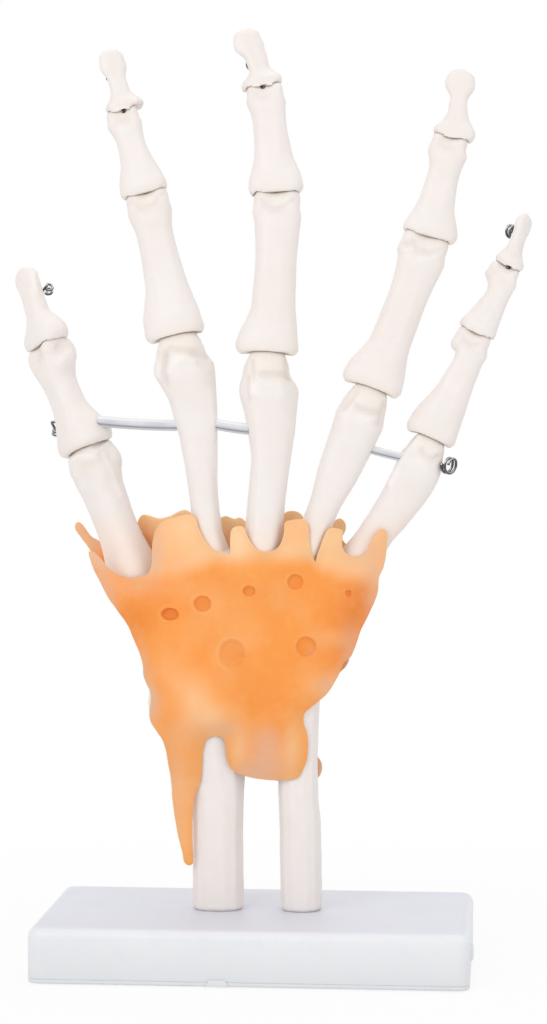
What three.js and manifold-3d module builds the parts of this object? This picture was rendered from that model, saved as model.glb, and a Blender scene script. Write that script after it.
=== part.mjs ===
// A life-size skeleton of a right hand on a plastic base: rigid bones strung on wire, with soft
// ligament sheets over the back and the palm side of the wrist. Millimetres, +Z up. The origin is
// the middle of the base's underside, the back of the hand faces -Y, and the thumb is towards -X.
import * as THREE from 'three';
import { mergeVertices } from 'three/addons/utils/BufferGeometryUtils.js';
import loadManifold from 'manifold-3d';

const wasm = await loadManifold();
wasm.setup();

// The driving sizes. Heights in the tables of bones and sheets are measured from the wrist's hinge.
const JOINT_GAP = 0.4;        // running clearance between a knuckle and its socket
const CARPAL_GAP = 0.5;       // joint space between two wrist bones
const SHEET_GAP = 0.4;        // space between a ligament sheet and the bones under it
const SEAT_GAP = 0.3;         // space between pieces that sit against each other
const SOCKET_REACH = 0.68;    // how far up the knuckle a socket's rim sits, as a share of its radius
const RIM_ARCH = 1.3;         // how much higher a socket's rim is at the back than at its sides

const BASE = { width: 125, depth: 76, height: 16, plate: 1.2, wall: 2.2, corner: 3.6, fillet: 3 };
const TAB = { at: -9, width: 5.6, height: 1.9, reach: 0.7 };
const NUB = { width: 7, height: 3.2, reach: 1, setback: 9, drop: 6.4 };
const SCREW = { shank: 3, head: 5.6, headHeight: 2.4, recess: 2.6, bite: 14, boss: 9 };
const WIRE = { diameter: 0.8, bore: 1.7, anchor: 10, pitch: 1.26, tipTurns: 1.75, coilTurns: 2 };
const SPACER_BORE = 1.6;
const SHEET = {
  thickness: 2.3, tail: 1.6, tailTop: -26.5, parting: 0.35, step: 5, pull: 0.06, dimple: 1.1,
};
// The wrist rolls in a barrel about a hinge from side to side, slimmer towards its ends.
const WRIST = { x: -7, z: 96.5, radius: 15, halfWidth: 33, sag: 7.1 };
// The length of a metacarpal's foot that the next finger's metacarpal keeps clear of.
const FOOT = { below: 4, above: 22 };

// Each digit's joints, on the line of the visible joint gaps: the foot of its metacarpal, its
// knuckle, its middle joints and its tip. The curl leans them gently towards the palm.
// A bone is lofted through stations of [share of its length, left, right, depth]: half widths seen
// from the back, and depth. Its knuckle is [left, right, radius].
// The wire leaves the last bone in an eye, at a share of that bone's length.
const DIGITS = {
  thumb: {
    gaps: [[-34.8, 5, 10.2], [-51.9, 9, 55], [-65, 12.5, 85.7], [-73.5, 16.5, 108.8]],
    twist: -50,
    bones: [
      { name: 'metacarpal', knuckle: [8.8, 8.2, 7.3],
        stations: [[0.1, 8.6, 8.4, 14.5], [0.48, 6.4, 7.1, 10.6], [0.72, 7.5, 6.8, 11.2],
          [0.9, 8.8, 8.2, 13.2]] },
      { name: 'proximal_phalanx', knuckle: [6.8, 6.3, 5.8],
        stations: [[0.1, 8.8, 8.6, 14.8], [0.42, 6.1, 5.3, 9.4], [0.62, 6.2, 4.9, 9],
          [0.84, 7.2, 7.1, 11.6]] },
      { name: 'distal_phalanx',
        stations: [[0.14, 7.4, 8.2, 10.8], [0.42, 3.8, 4, 5.6], [0.7, 3, 3.6, 5],
          [0.86, 4.7, 4.7, 5.4]] },
    ],
    eye: { at: 0.67, axis: 'out', radius: 1.6, turn: -25 },
  },
  index: {
    gaps: [[-11.8, -2, 16.7], [-23.7, -3, 88], [-34.1, 0.6, 129.6], [-41.3, 4.5, 154.4],
      [-45.9, 8.5, 173.2]],
    twist: 0,
    bones: [
      { name: 'metacarpal', knuckle: [8.5, 7.3, 7.5],
        stations: [[0.1, 6.6, 6.2, 14], [0.34, 5, 4, 9], [0.54, 4.8, 5.7, 9.4], [0.74, 6.2, 8, 11.4],
          [0.88, 9, 8.7, 14.2]] },
      { name: 'proximal_phalanx', knuckle: [6.3, 6.4, 4.7],
        stations: [[0.1, 9.6, 7.9, 13.5], [0.4, 6.4, 6.1, 8.4], [0.7, 5.6, 5.4, 8],
          [0.88, 6.3, 6.3, 8.8]] },
      { name: 'middle_phalanx', knuckle: [5.5, 4.2, 3.6],
        stations: [[0.14, 7, 6.7, 9.6], [0.42, 5, 4.8, 6.8], [0.62, 4.5, 3.9, 6],
          [0.88, 5.5, 4.2, 6.8]] },
      { name: 'distal_phalanx', spin: 26,
        stations: [[0.1, 4.8, 5.9, 6.8], [0.36, 2.7, 3.1, 4.2], [0.52, 2.9, 2.8, 3.8],
          [0.74, 4.6, 3.6, 3.5]] },
    ],
    eye: { at: 0.56, axis: 'out', radius: 1.8, turn: 26 },
  },
  middle: {
    gaps: [[0.7, -3, 15.2], [2.2, -4, 83], [4, 0, 129.7], [0.1, 5, 161.3], [-5.6, 8.7, 178.9]],
    twist: 0,
    bones: [
      { name: 'metacarpal', knuckle: [7.5, 7.2, 7.8],
        stations: [[0.1, 6, 5.2, 14.5], [0.38, 4.9, 6.4, 9.6], [0.54, 4.2, 7.6, 9.8], [0.72, 6.2, 9, 12],
          [0.84, 8, 9.3, 14.4]] },
      { name: 'proximal_phalanx', knuckle: [6.3, 7.5, 5],
        stations: [[0.07, 9.5, 8.7, 14], [0.3, 5.7, 7.6, 9], [0.55, 5.1, 7.3, 8.4],
          [0.86, 6, 7.8, 9.2]] },
      { name: 'middle_phalanx', knuckle: [5.3, 5.7, 3.8],
        stations: [[0.12, 7.1, 8.8, 10.2], [0.36, 4.9, 6.7, 7], [0.66, 4.3, 5.7, 6.2],
          [0.86, 5.2, 5.9, 7.2]] },
      { name: 'distal_phalanx', spin: 20,
        stations: [[0.1, 5.8, 5.9, 7.2], [0.34, 2.5, 4, 4.4], [0.5, 2.7, 4.1, 4], [0.7, 5.2, 4.2, 3.6]] },
    ],
    eye: { at: 0.46, axis: 'out', radius: 1.8, turn: 20 },
  },
  ring: {
    gaps: [[10.6, -2, 15.1], [32.4, -2, 72.7], [48.1, 2, 117.1], [55.1, 6.6, 146.2], [57.8, 11, 167.1]],
    twist: 0,
    bones: [
      { name: 'metacarpal', knuckle: [7.1, 7, 7],
        stations: [[0.1, 5.8, 3.6, 12.5], [0.4, 5.3, 3.9, 8.4], [0.56, 6.5, 5.6, 9.4],
          [0.84, 7.3, 7.1, 12.8]] },
      { name: 'proximal_phalanx', knuckle: [6.8, 7.3, 4.8],
        stations: [[0.08, 9.4, 8.5, 13], [0.32, 5.6, 6.7, 8.6], [0.6, 5.1, 6.8, 8],
          [0.88, 6.4, 7.7, 8.8]] },
      { name: 'middle_phalanx', knuckle: [5.6, 5.2, 3.6],
        stations: [[0.09, 7, 8.8, 9.6], [0.36, 4.9, 6.1, 6.6], [0.66, 4.3, 5.2, 6],
          [0.86, 5.7, 5.7, 6.8]] },
      { name: 'distal_phalanx',
        stations: [[0.12, 5.1, 6.7, 6.8], [0.38, 2, 4.1, 4.2], [0.56, 1.8, 3.4, 3.8],
          [0.78, 4.3, 5, 3.4]] },
    ],
    eye: { at: 0.5, axis: 'out', radius: 1.8, turn: 0 },
  },
  little: {
    gaps: [[25.8, 0, 15], [49.6, 2, 58.1], [62.4, 4.8, 89], [71.7, 8, 108.3], [78.2, 11.6, 124.3]],
    twist: 0,
    bones: [
      { name: 'metacarpal', knuckle: [6.2, 7, 6.2],
        stations: [[0.1, 7.6, 5, 12], [0.32, 5.9, 4.7, 7.6], [0.5, 5.3, 6.4, 8], [0.74, 5.2, 8.1, 10],
          [0.88, 6.4, 7.3, 11.4]] },
      { name: 'proximal_phalanx', knuckle: [5.4, 5.3, 4],
        stations: [[0.12, 7.7, 7.3, 11], [0.5, 4.1, 6.1, 7.4], [0.76, 3, 5.6, 6.8],
          [0.9, 5.2, 5.8, 7.4]] },
      { name: 'middle_phalanx', knuckle: [5.2, 4.1, 3.1],
        stations: [[0.12, 5.4, 5.2, 7.8], [0.38, 3.9, 4.9, 5.6], [0.62, 2.8, 4.5, 5],
          [0.88, 5.2, 4.5, 5.8]] },
      { name: 'distal_phalanx', spin: 55,
        stations: [[0.12, 4, 4.7, 6.8], [0.4, 2.7, 2.6, 3.8], [0.6, 2.6, 2.4, 3.6],
          [0.8, 3.4, 3.2, 3.4]] },
    ],
    eye: { at: 0.6, axis: 'out', radius: 1.8, turn: 55 },
  },
};

// Wrist bones, in the order in which each gives way to the ones before it: middle, half sizes
// along X, Y and Z, and lean in degrees seen from the back, clockwise. The row next to the forearm
// reaches down to the barrel; the last bone rides free on the palm side.
const CARPALS = {
  capitate: { at: [-2, 0.5, 4.7], half: [7.2, 9, 11], lean: 0 },
  scaphoid: { at: [-19.5, 1.5, -4.1], half: [11.5, 8.5, WRIST.radius - 7.6], lean: 24 },
  lunate: { at: [-4, 0.5, -6.5], half: [8.6, 9, WRIST.radius - 6], lean: 0 },
  hamate: { at: [13, 0.5, 6.1], half: [9.8, 8.6, 9.8], lean: 0 },
  trapezoid: { at: [-15, 0, 9.3], half: [6.4, 8, 7.6], lean: -10 },
  trapezium: { at: [-29, 3, 4.5], half: [8.2, 8, 7.6], lean: -30 },
  triquetrum: { at: [12.5, 1.5, -5.9], half: [8.8, 7.6, WRIST.radius - 8], lean: -16 },
  pisiform: { at: [13, 12.4, -2.2], half: [4.8, 3.6, 4.6], lean: 0, free: true },
};

// Forearm bones from the base up: height, left edge, right edge, half depth.
const FOREARM_FOOT = BASE.height - WRIST.z;
const RADIUS = [
  [FOREARM_FOOT, -19, -5.6, 6.2], [FOREARM_FOOT + 1, -19.9, -4.7, 7], [-54.5, -19.9, -5, 6.8],
  [-47.5, -20.8, -4.7, 7], [-39.5, -26.7, -4.3, 7.8], [-32.5, -30, -3.9, 8.6], [-25, -32.7, -3.3, 9.4],
  [-19.5, -33.5, -0.5, 9.8], [-14.5, -33, 1.2, 9.2], [-10.5, -31, 0.6, 8],
];
const ULNA = [
  [FOREARM_FOOT, 7, 17.7, 5.4], [FOREARM_FOOT + 1, 6.2, 18.5, 6.2], [-54.5, 5.7, 18, 6.2],
  [-46.5, 5.3, 17.2, 6], [-34.5, 5.3, 17, 6.2], [-24.5, 4.8, 17.3, 6.8], [-18.5, 4.6, 17.6, 7.2],
  [-14.5, 6.4, 16.6, 5.8],
];

// Outlines of the ligament sheets, seen from the back of the hand: X and height, clockwise.
const DORSAL_OUTLINE = [
  [-50, 24.5], [-47.3, 24.7], [-43.5, 21], [-37.3, 17.6], [-31.6, 21], [-31, 28.5], [-30, 33.5],
  [-25, 34.9], [-19.2, 35.5], [-15.6, 29.5], [-11.2, 25.4], [-8.4, 28], [-7.4, 34.5], [-4.3, 34.5],
  [-1.8, 29], [1.9, 25.5], [6, 27.5], [8, 33], [13, 34.5], [14.4, 31], [16.5, 22.4], [18.8, 28],
  [21.4, 32.2], [24.8, 30], [25.3, 26.3], [28.2, 24.3], [32.8, 26.1], [34, 30.9], [36.6, 31.7],
  [37.6, 25.5], [35.8, 16.5], [32.2, 8.5], [29.7, 1.1], [25.6, -5.8], [22.1, -13.1], [12.4, -20.5],
  [12.6, -24], [14.6, -32.5], [12.1, -39.5], [8.5, -41.1], [-3.4, -40.6], [-8.3, -37.5], [-9.6, -29.2],
  [-12.4, -26.9], [-15.8, -29.1], [-16.8, -38.5], [-18.9, -46.5], [-18.7, -58.5], [-19.4, -67.1],
  [-21.4, -66.5], [-23.9, -60.5], [-25.1, -47.5], [-26.2, -36.5], [-31.6, -23.9], [-32.5, -14.5],
  [-35.5, -5.1], [-39.5, 3.3], [-46.9, 14.8],
];
const PALMAR_OUTLINE = [
  [-56.6, 31.6], [-55.9, 33], [-52.4, 29.4], [-44, 24], [-38.5, 30.5], [-36, 35.1], [-31, 34.5],
  [-22.5, 36.5], [-17, 30.5], [-12, 34.8], [-6.8, 34.7], [-1, 29], [6.6, 35.5], [10, 36.5], [13, 33],
  [17, 26], [20.4, 31], [21.1, 34.1], [22.6, 34.6], [24.3, 33.4], [24.4, 30.6], [24.2, 27], [29, 24.4],
  [34, 23.5], [33.8, 14.5], [29.8, 5],
  [25.8, -4.5], [24.8, -8.9], [19.8, -16.5], [16.2, -28.5], [17.8, -37.9], [15.6, -42.3], [4, -43.1],
  [-6, -41], [-9, -33.5], [-13, -29.5], [-18, -33], [-24.5, -31.5], [-30.4, -24.5], [-35.7, -15.9],
  [-36.3, -5], [-39.5, 4], [-45.9, 14.5], [-51.6, 24.3],
];
// Shallow round hollows pressed into the back sheet: X, height, half width, half height.
const DIMPLES = [
  [-25.9, 7, 2.6, 1.8], [-16.2, 10.3, 2.6, 2.3], [-2.5, 14.2, 1.8, 1.5], [10.9, 16.9, 2.2, 2.2],
  [-7.4, -4.2, 3.7, 4.1], [14.1, -2, 2.9, 2.9],
];

// The spreader wires, each through bones at the given heights and on the dorsal side of their
// middles, so that it misses the finger wires. The first bone carries the coil at the wire's end.
const SPREADER_OFFSET = 2.4;
const RADIAL_SPREADER = {
  stops: [{ digit: 'thumb', bone: 1, height: 62.7 }, { digit: 'index', bone: 0, height: 62.1 },
    { digit: 'middle', bone: 0, height: 61 }],
  coil: { axis: [0.25, 0.1, 1], radius: 1.3, offset: [0.5, 4.8, -2.8] },
  outer: 3.3,
};
const ULNAR_SPREADER = {
  stops: [{ digit: 'little', bone: 0, height: 51.9 }, { digit: 'ring', bone: 0, height: 56.9 }],
  coil: { axis: [0.5, -0.85, 0.1], radius: 2.1, offset: [2.3, -2.2, 0.6] },
  outer: 2.6,
};

// The looks.
const material = (color, roughness, metalness = 0, more = {}) =>
  new THREE.MeshStandardMaterial({ color, roughness, metalness, ...more });
const LOOKS = {
  bone: () => material(0xf0e8e2, 0.5),
  sheet: () => material(0xffa552, 0.45, 0, { transparent: true, opacity: 0.92 }),
  base: () => material(0xe4e5ec, 0.4),
  wire: () => material(0x6f7175, 0.35, 0.9),
  tube: () => material(0xdcdde4, 0.2, 0, { transparent: true, opacity: 0.5 }),
  screw: () => material(0xb9bbbe, 0.3, 1),
};

// Tools for closed solids.
const BONE_SIDES = 12;
const KNUCKLE_SIDES = 12;
const WIRE_SIDES = 5;
const vector = (...xyz) => new THREE.Vector3(...xyz);
const overWrist = (x, y, height) => vector(x, y, WRIST.z + height);
const radians = THREE.MathUtils.degToRad;

/** A closed solid from points and triangles, turned the right way out. */
function solidOf(points, faces) {
  let volume = 0;
  for (let i = 0; i < faces.length; i += 3) {
    const [a, b, c] = [points[faces[i]], points[faces[i + 1]], points[faces[i + 2]]];
    volume += a.dot(b.clone().cross(c));
  }
  for (let i = 0; volume < 0 && i < faces.length; i += 3) {
    [faces[i], faces[i + 1]] = [faces[i + 1], faces[i]];
  }
  return new wasm.Manifold(new wasm.Mesh({
    numProp: 3,
    vertProperties: new Float32Array(points.flatMap(p => [p.x, p.y, p.z])),
    triVerts: new Uint32Array(faces),
  }));
}

/** A closed solid skinned over a stack of rings that have the same number of points. */
function skin(rings) {
  const sides = rings[0].length;
  const last = (rings.length - 1) * sides;
  const faces = [];
  for (let r = 0; r < last; r += sides) {
    for (let s = 0; s < sides; s++) {
      const next = (s + 1) % sides;
      faces.push(r + s, r + next, r + next + sides, r + s, r + next + sides, r + s + sides);
    }
  }
  for (let s = 1; s + 1 < sides; s++) faces.push(0, s + 1, s, last, last + s, last + s + 1);
  return solidOf(rings.flat(), faces);
}

/** A closed solid from a three.js geometry. */
function solidFrom(geometry) {
  const bare = geometry.clone();
  bare.deleteAttribute('normal');
  bare.deleteAttribute('uv');
  const merged = mergeVertices(bare, 1e-4);
  const position = merged.attributes.position;
  const points = Array.from({ length: position.count }, (_, i) =>
    vector().fromBufferAttribute(position, i));
  return solidOf(points, Array.from(merged.index.array));
}

/** The largest body of a cut solid, without the crumbs that a cut may leave. */
function mainBody(solid) {
  return solid.decompose().sort((a, b) => b.volume() - a.volume())[0];
}

function geometryOf(solid) {
  const mesh = solid.getMesh();
  const geometry = new THREE.BufferGeometry();
  geometry.setAttribute('position', new THREE.BufferAttribute(new Float32Array(mesh.vertProperties), 3));
  geometry.setIndex(new THREE.BufferAttribute(new Uint32Array(mesh.triVerts), 1));
  geometry.computeVertexNormals();
  return geometry;
}

/** Round rings carried along a line of points, each turned as little as possible from the last. */
function sweep(path, radius, sides = WIRE_SIDES) {
  let side = vector(0, 1, 0);
  const rings = path.map((point, i) => {
    const along = path[Math.min(i + 1, path.length - 1)].clone().sub(path[Math.max(i - 1, 0)]).normalize();
    side = side.clone().addScaledVector(along, -side.dot(along)).normalize();
    const up = along.clone().cross(side);
    return Array.from({ length: sides }, (_, s) => {
      const angle = 2 * Math.PI * s / sides;
      return point.clone()
        .addScaledVector(side, radius * Math.cos(angle))
        .addScaledVector(up, radius * Math.sin(angle));
    });
  });
  return skin(rings);
}

/** Turns round a centre, from a start direction, drifting along the axis. */
function turns(centre, axis, start, radius, count, pitch) {
  const steps = 10;
  const across = axis.clone().cross(start);
  return Array.from({ length: Math.round(count * steps) + 1 }, (_, i) => {
    const angle = 2 * Math.PI * i / steps;
    return centre.clone()
      .addScaledVector(start, radius * Math.cos(angle))
      .addScaledVector(across, radius * Math.sin(angle))
      .addScaledVector(axis, pitch * (i / steps - count / 2));
  });
}

// Bones.
const smooth = t => t * t * (3 - 2 * t);

/** Values eased between keys, each key being [place, value, value, ...]. */
function ease(keys, place) {
  const i = Math.max(1, keys.findIndex(key => key[0] >= place));
  const [from, to] = [keys[i - 1], keys[i]];
  const t = smooth(Math.min(1, Math.max(0, (place - from[0]) / (to[0] - from[0]))));
  return from.slice(1).map((value, k) => value + (to[k + 1] - value) * t);
}

/** The least space between a winding's turns, measured between points over half a turn apart. */
function leastGap(winding, radius) {
  let least = Infinity;
  let run = winding.slice(1).map((point, i) => point.distanceTo(winding[i]));
  run = run.reduce((sums, step) => [...sums, sums[sums.length - 1] + step], [0]);
  for (let i = 0; i < winding.length; i++) {
    for (let j = i + 1; j < winding.length; j++) {
      if (run[j] - run[i] > Math.PI * radius) least = Math.min(least, winding[i].distanceTo(winding[j]));
    }
  }
  return least - WIRE.diameter;
}

/** A bone's cross-section: round over the back, flatter on the palm side. */
function boneRing(z, left, right, depth, middle = 0, rise = 0) {
  return Array.from({ length: BONE_SIDES }, (_, i) => {
    const angle = 2 * Math.PI * (i + 0.5) / BONE_SIDES;
    const [c, s] = [Math.cos(angle), Math.sin(angle)];
    const x = (c < 0 ? left : right) * Math.sign(c) * Math.abs(c) ** 0.82;
    const y = Math.sign(s) * Math.abs(s) ** (s < 0 ? 0.9 : 0.66) * depth / 2;
    return vector(x + middle, y + rise, z);
  });
}

/** A knuckle turned about its hinge: a ball on a metacarpal, a grooved roller on a phalanx. */
function knuckle(bone, grow = 0) {
  const profile = bone.name === 'metacarpal'
    ? [0.97, 0.82, 0.5, 0].map(u => [u, (1 - u ** 2.3) ** (1 / 2.3)])
    : [[1, 0.52], [0.84, 0.9], [0.55, 1], [0, 0.88]];
  const half = [...profile.map(([u, r]) => [-u, r]), ...profile.slice(0, -1).reverse()];
  const [left, right, radius] = bone.knuckle;
  return skin(half.map(([u, r]) => Array.from({ length: KNUCKLE_SIDES }, (_, i) => {
    const angle = 2 * Math.PI * (i + 0.5) / KNUCKLE_SIDES;
    const x = u * (u < 0 ? left : right) + Math.sign(u) * grow;
    return vector(x, (radius * r + grow) * Math.cos(angle), (radius * r + grow) * Math.sin(angle));
  })));
}

/** The frame of a bone: +Z along it, +X to the right seen from the back, +Y towards the palm. */
function boneFrame(from, to, twist) {
  const along = to.clone().sub(from).normalize();
  const right = vector(1, 0, 0).addScaledVector(along, -along.x).normalize();
  right.applyAxisAngle(along, radians(twist));
  return new THREE.Matrix4().makeBasis(right, along.clone().cross(right), along).setPosition(from);
}

/** Rings of a long bone from its base at z = start to its far end at z = end, as far up as top. */
function shaftRings(bone, start, end, top, arch) {
  const foot = bone.stations[0];
  const head = bone.stations[bone.stations.length - 1];
  const close = share => head.slice(1).map(v => v * share);
  const keys = [[0, ...foot.slice(1).map(v => v * 0.9)], ...bone.stations];
  if (bone.knuckle) {
    const [left, right, radius] = bone.knuckle;
    keys.push([(top - start) / (end - start), left, right, 1.94 * radius]);
  } else keys.push([0.93, ...close(0.8)], [1, ...close(0.44)]);
  const places = keys.flatMap(([place], i) => {
    const before = i ? keys[i - 1][0] : place;
    return i === 1 || place - before > 0.2 ? [(place + before) / 2, place] : [place];
  });
  return places.map(place => {
    const [left, right, depth] = ease(keys, place);
    const z = start + place * (end - start);
    const spin = radians(bone.spin || 0) * Math.min(1, place / 0.35);
    const rise = bone.knuckle ? -0.06 * foot[3] * Math.sin(Math.PI * place) : 0;
    const lift = arch * Math.max(0, 1 - place / foot[0]);
    return boneRing(z, left, right, depth, 0, rise).map(p => {
      p.z += lift * Math.min(1, (2 * (p.y - rise) / depth) ** 2);
      return p.applyAxisAngle(vector(0, 0, 1), spin);
    });
  });
}

/** A digit from its metacarpal to its tip: frames at the hinges, solids in place, and its wire. */
function buildDigit({ gaps, twist, bones, eye }) {
  const points = gaps.map(gap => overWrist(...gap));
  const directions = bones.map((_, i) => points[i + 1].clone().sub(points[i]).normalize());
  const reach = bones.map(bone => bone.knuckle ? bone.knuckle[2] * SOCKET_REACH : 0);
  const hinges = bones.map((_, i) => points[i + 1].clone().addScaledVector(directions[i], -reach[i]));
  const frames = bones.map((_, i) => boneFrame(i ? hinges[i - 1] : points[0], hinges[i], twist));
  const spans = bones.map((_, i) => hinges[i].distanceTo(i ? hinges[i - 1] : points[0]));
  const headFrames = bones.map((_, i) =>
    frames[i].clone().multiply(new THREE.Matrix4().makeTranslation(0, 0, spans[i])));
  const solids = bones.map((bone, i) => {
    const start = i ? reach[i - 1] : 0;
    const rings = shaftRings(bone, start, spans[i] + reach[i], spans[i], i === 1 ? RIM_ARCH : 0);
    let solid = skin(rings).transform(frames[i].elements);
    if (bone.knuckle) solid = solid.add(knuckle(bone).transform(headFrames[i].elements));
    if (i) solid = solid.subtract(knuckle(bones[i - 1], JOINT_GAP).transform(headFrames[i - 1].elements));
    return solid;
  });

  // The wire runs from a blind hole in the metacarpal through every joint, and leaves the last
  // bone on the palm side, where it ends in an eye that lies flat against the bone or stands on it.
  const last = bones.length - 1;
  const spin = radians(eye.turn);
  const local = (out, z) =>
    vector(-out * Math.sin(spin), out * Math.cos(spin), z).applyMatrix4(frames[last]);
  const length = spans[last];
  const surface = bones[last].stations[1][3] / 2;
  const exit = [local(0, length * 0.2), local(0, length * (eye.at - 0.26)),
    local(surface * 0.5, length * (eye.at - 0.18)), local(surface + SEAT_GAP, length * (eye.at - 0.1))];
  const beyond = local(surface + 2 * WIRE.bore, length * (eye.at + 0.02));
  const anchor = hinges[0].clone().addScaledVector(directions[0], -WIRE.anchor);
  const through = [anchor, ...hinges.slice(0, last), ...exit];
  const outward = local(1, 0).sub(local(0, 0));
  const along = directions[last];
  const flat = eye.axis === 'out';
  const eyeSpan = WIRE.pitch * WIRE.tipTurns / 2;
  const stand = surface + SEAT_GAP + WIRE.diameter + (flat ? eyeSpan : eye.radius);
  const winding = turns(local(stand, length * eye.at + (flat ? eye.radius : eyeSpan)),
    flat ? outward : along, flat ? along.clone().negate() : outward.clone().cross(along),
    eye.radius, WIRE.tipTurns, WIRE.pitch);
  const bore = sweep([...through, beyond], WIRE.bore / 2);
  return {
    bones: bones.map((bone, i) =>
      ({ ...bone, solid: mainBody(solids[i].subtract(bore)), frame: frames[i] })),
    wire: sweep([...through, ...winding], WIRE.diameter / 2),
    wireGap: leastGap(winding, eye.radius),
    middle: (i, z) => { // the point of a bone's middle line at a height above the base's underside
      const [from, to] = [i ? hinges[i - 1] : points[0], hinges[i]];
      return from.clone().lerp(to, (z - from.z) / (to.z - from.z));
    },
  };
}

/** A forearm bone, its upper end hollowed by the wrist's barrel. */
function forearmBone(keys) {
  return skin(keys.map(([height, left, right, half]) => {
    const middle = (left + right) / 2;
    return boneRing(WRIST.z + height, middle - left, right - middle, 2 * half, middle);
  })).subtract(wristBarrel(JOINT_GAP));
}

/** The barrel that the wrist rolls in, about a hinge that runs from side to side. */
function wristBarrel(grow = 0) {
  return skin([-1, -0.75, -0.5, -0.25, 0, 0.25, 0.5, 0.75, 1].map(share => {
    const reach = WRIST.radius - WRIST.sag * share ** 2 + grow;
    return Array.from({ length: 24 }, (_, i) => {
      const angle = 2 * Math.PI * i / 24;
      return overWrist(WRIST.x + share * WRIST.halfWidth, reach * Math.cos(angle), reach * Math.sin(angle));
    });
  }));
}

/** A wrist bone before its neighbours cut it: an egg with slightly flattened faces. */
function carpalBlank({ at, half, lean }, grow = 0) {
  const egg = new THREE.SphereGeometry(1, 12, 7);
  const position = egg.attributes.position;
  for (let i = 0; i < position.count; i++) {
    const p = vector().fromBufferAttribute(position, i);
    p.multiplyScalar((Math.abs(p.x) ** 2.8 + Math.abs(p.y) ** 2.8 + Math.abs(p.z) ** 2.8) ** (-1 / 2.8));
    position.setXYZ(i, p.x * (half[0] + grow), p.y * (half[1] + grow), p.z * (half[2] + grow));
  }
  egg.rotateY(radians(lean)).translate(...overWrist(...at));
  return solidFrom(egg);
}

// Building the bones.
const digits = Object.fromEntries(Object.entries(DIGITS).map(([name, digit]) => [name, buildDigit(digit)]));
const radius = forearmBone(RADIUS);
const ulna = forearmBone(ULNA);

const carpals = {};
{
  const above = new THREE.BoxGeometry(4 * WRIST.halfWidth, 4 * WRIST.radius, 4 * WRIST.radius);
  const room = wristBarrel().add(solidFrom(above.translate(WRIST.x, 0, WRIST.z + 2 * WRIST.radius)));
  const cuts = [];
  for (const [name, shape] of Object.entries(CARPALS)) {
    let solid = carpalBlank(shape);
    if (!shape.free) solid = solid.intersect(room);
    for (const cut of cuts) solid = solid.subtract(cut);
    carpals[name] = mainBody(solid);
    cuts.push(carpalBlank(shape, CARPAL_GAP));
  }
  // The metacarpals' feet give way to the wrist bones and to the finger before them.
  let before = null;
  for (const digit of Object.values(digits)) {
    let foot = digit.bones[0].solid;
    for (const cut of cuts) foot = foot.subtract(cut);
    if (before) foot = foot.subtract(before);
    digit.bones[0].solid = mainBody(foot);
    const [, left, right, depth] = digit.bones[0].stations[0];
    before = skin([-FOOT.below, FOOT.above].map(z =>
      boneRing(z, left + CARPAL_GAP, right + CARPAL_GAP, depth + 4 * CARPAL_GAP)));
    before = before.transform(digit.bones[0].frame.elements);
  }
}

// Spreader wires and spacers.
/** How far a round of the given radius must travel from a point in a bone to come clear of it. */
function clearOf(bone, point, direction, radius) {
  const bothSides = new THREE.MeshBasicMaterial({ side: THREE.DoubleSide });
  const mesh = new THREE.Mesh(geometryOf(bone.solid), bothSides);
  const side = vector(0, 1, 0).addScaledVector(direction, -direction.y).normalize();
  const up = direction.clone().cross(side);
  const travels = Array.from({ length: 12 }, (_, i) => {
    const angle = 2 * Math.PI * i / 12;
    const from = point.clone()
      .addScaledVector(side, radius * Math.cos(angle))
      .addScaledVector(up, radius * Math.sin(angle));
    const hits = new THREE.Raycaster(from, direction, 0, 20).intersectObject(mesh);
    return hits.length ? hits[hits.length - 1].distance : 0;
  });
  return point.clone().addScaledVector(direction, Math.max(...travels));
}

/** A wire through several bones, with a coil outside the first, and a spacer tube in each gap. */
function spreader({ stops, coil, outer }) {
  const points = stops.map(({ digit, bone, height }) =>
    digits[digit].middle(bone, WRIST.z + height).add(vector(0, -SPREADER_OFFSET, 0)));
  const bones = stops.map(({ digit, bone }) => digits[digit].bones[bone]);
  const out = points[0].clone().sub(points[1]).normalize();
  const shore = clearOf(bones[0], points[0], out, WIRE.bore / 2);
  const spacers = points.slice(1).map((to, i) => {
    const run = to.clone().sub(points[i]).normalize();
    const from = clearOf(bones[i], points[i], run, outer / 2).addScaledVector(run, SEAT_GAP);
    const end = clearOf(bones[i + 1], to, run.clone().negate(), outer / 2).addScaledVector(run, -SEAT_GAP);
    return sweep([from, end], outer / 2, 10).subtract(
      sweep([from.clone().lerp(end, -0.5), from.clone().lerp(end, 1.5)], SPACER_BORE / 2, 8));
  });
  const axis = vector(...coil.axis).normalize();
  const start = out.clone().negate().addScaledVector(axis, out.dot(axis)).normalize();
  const centre = shore.clone().add(vector(...coil.offset));
  const winding = turns(centre, axis, start, coil.radius, WIRE.coilTurns, WIRE.pitch).reverse();
  const neck = shore.clone().addScaledVector(out, WIRE.diameter);
  const bore = sweep([shore.clone().addScaledVector(out, WIRE.bore), ...points], WIRE.bore / 2);
  bones.forEach(bone => { bone.solid = mainBody(bone.solid.subtract(bore)); });
  return {
    wire: sweep([...winding, neck, ...points], WIRE.diameter / 2), spacers,
    wireGap: leastGap(winding, coil.radius),
  };
}

const radialSpreader = spreader(RADIAL_SPREADER);
const ulnarSpreader = spreader(ULNAR_SPREADER);
for (const [name, { wireGap }] of Object.entries({ ...digits, radialSpreader, ulnarSpreader })) {
  console.log(`${name} wire: least gap between its turns ${wireGap.toFixed(2)} mm`);
}

// Ligament sheets.
const handBones = [radius, ulna, ...Object.values(carpals),
  ...Object.values(digits).map(digit => digit.bones[0].solid)];

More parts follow.
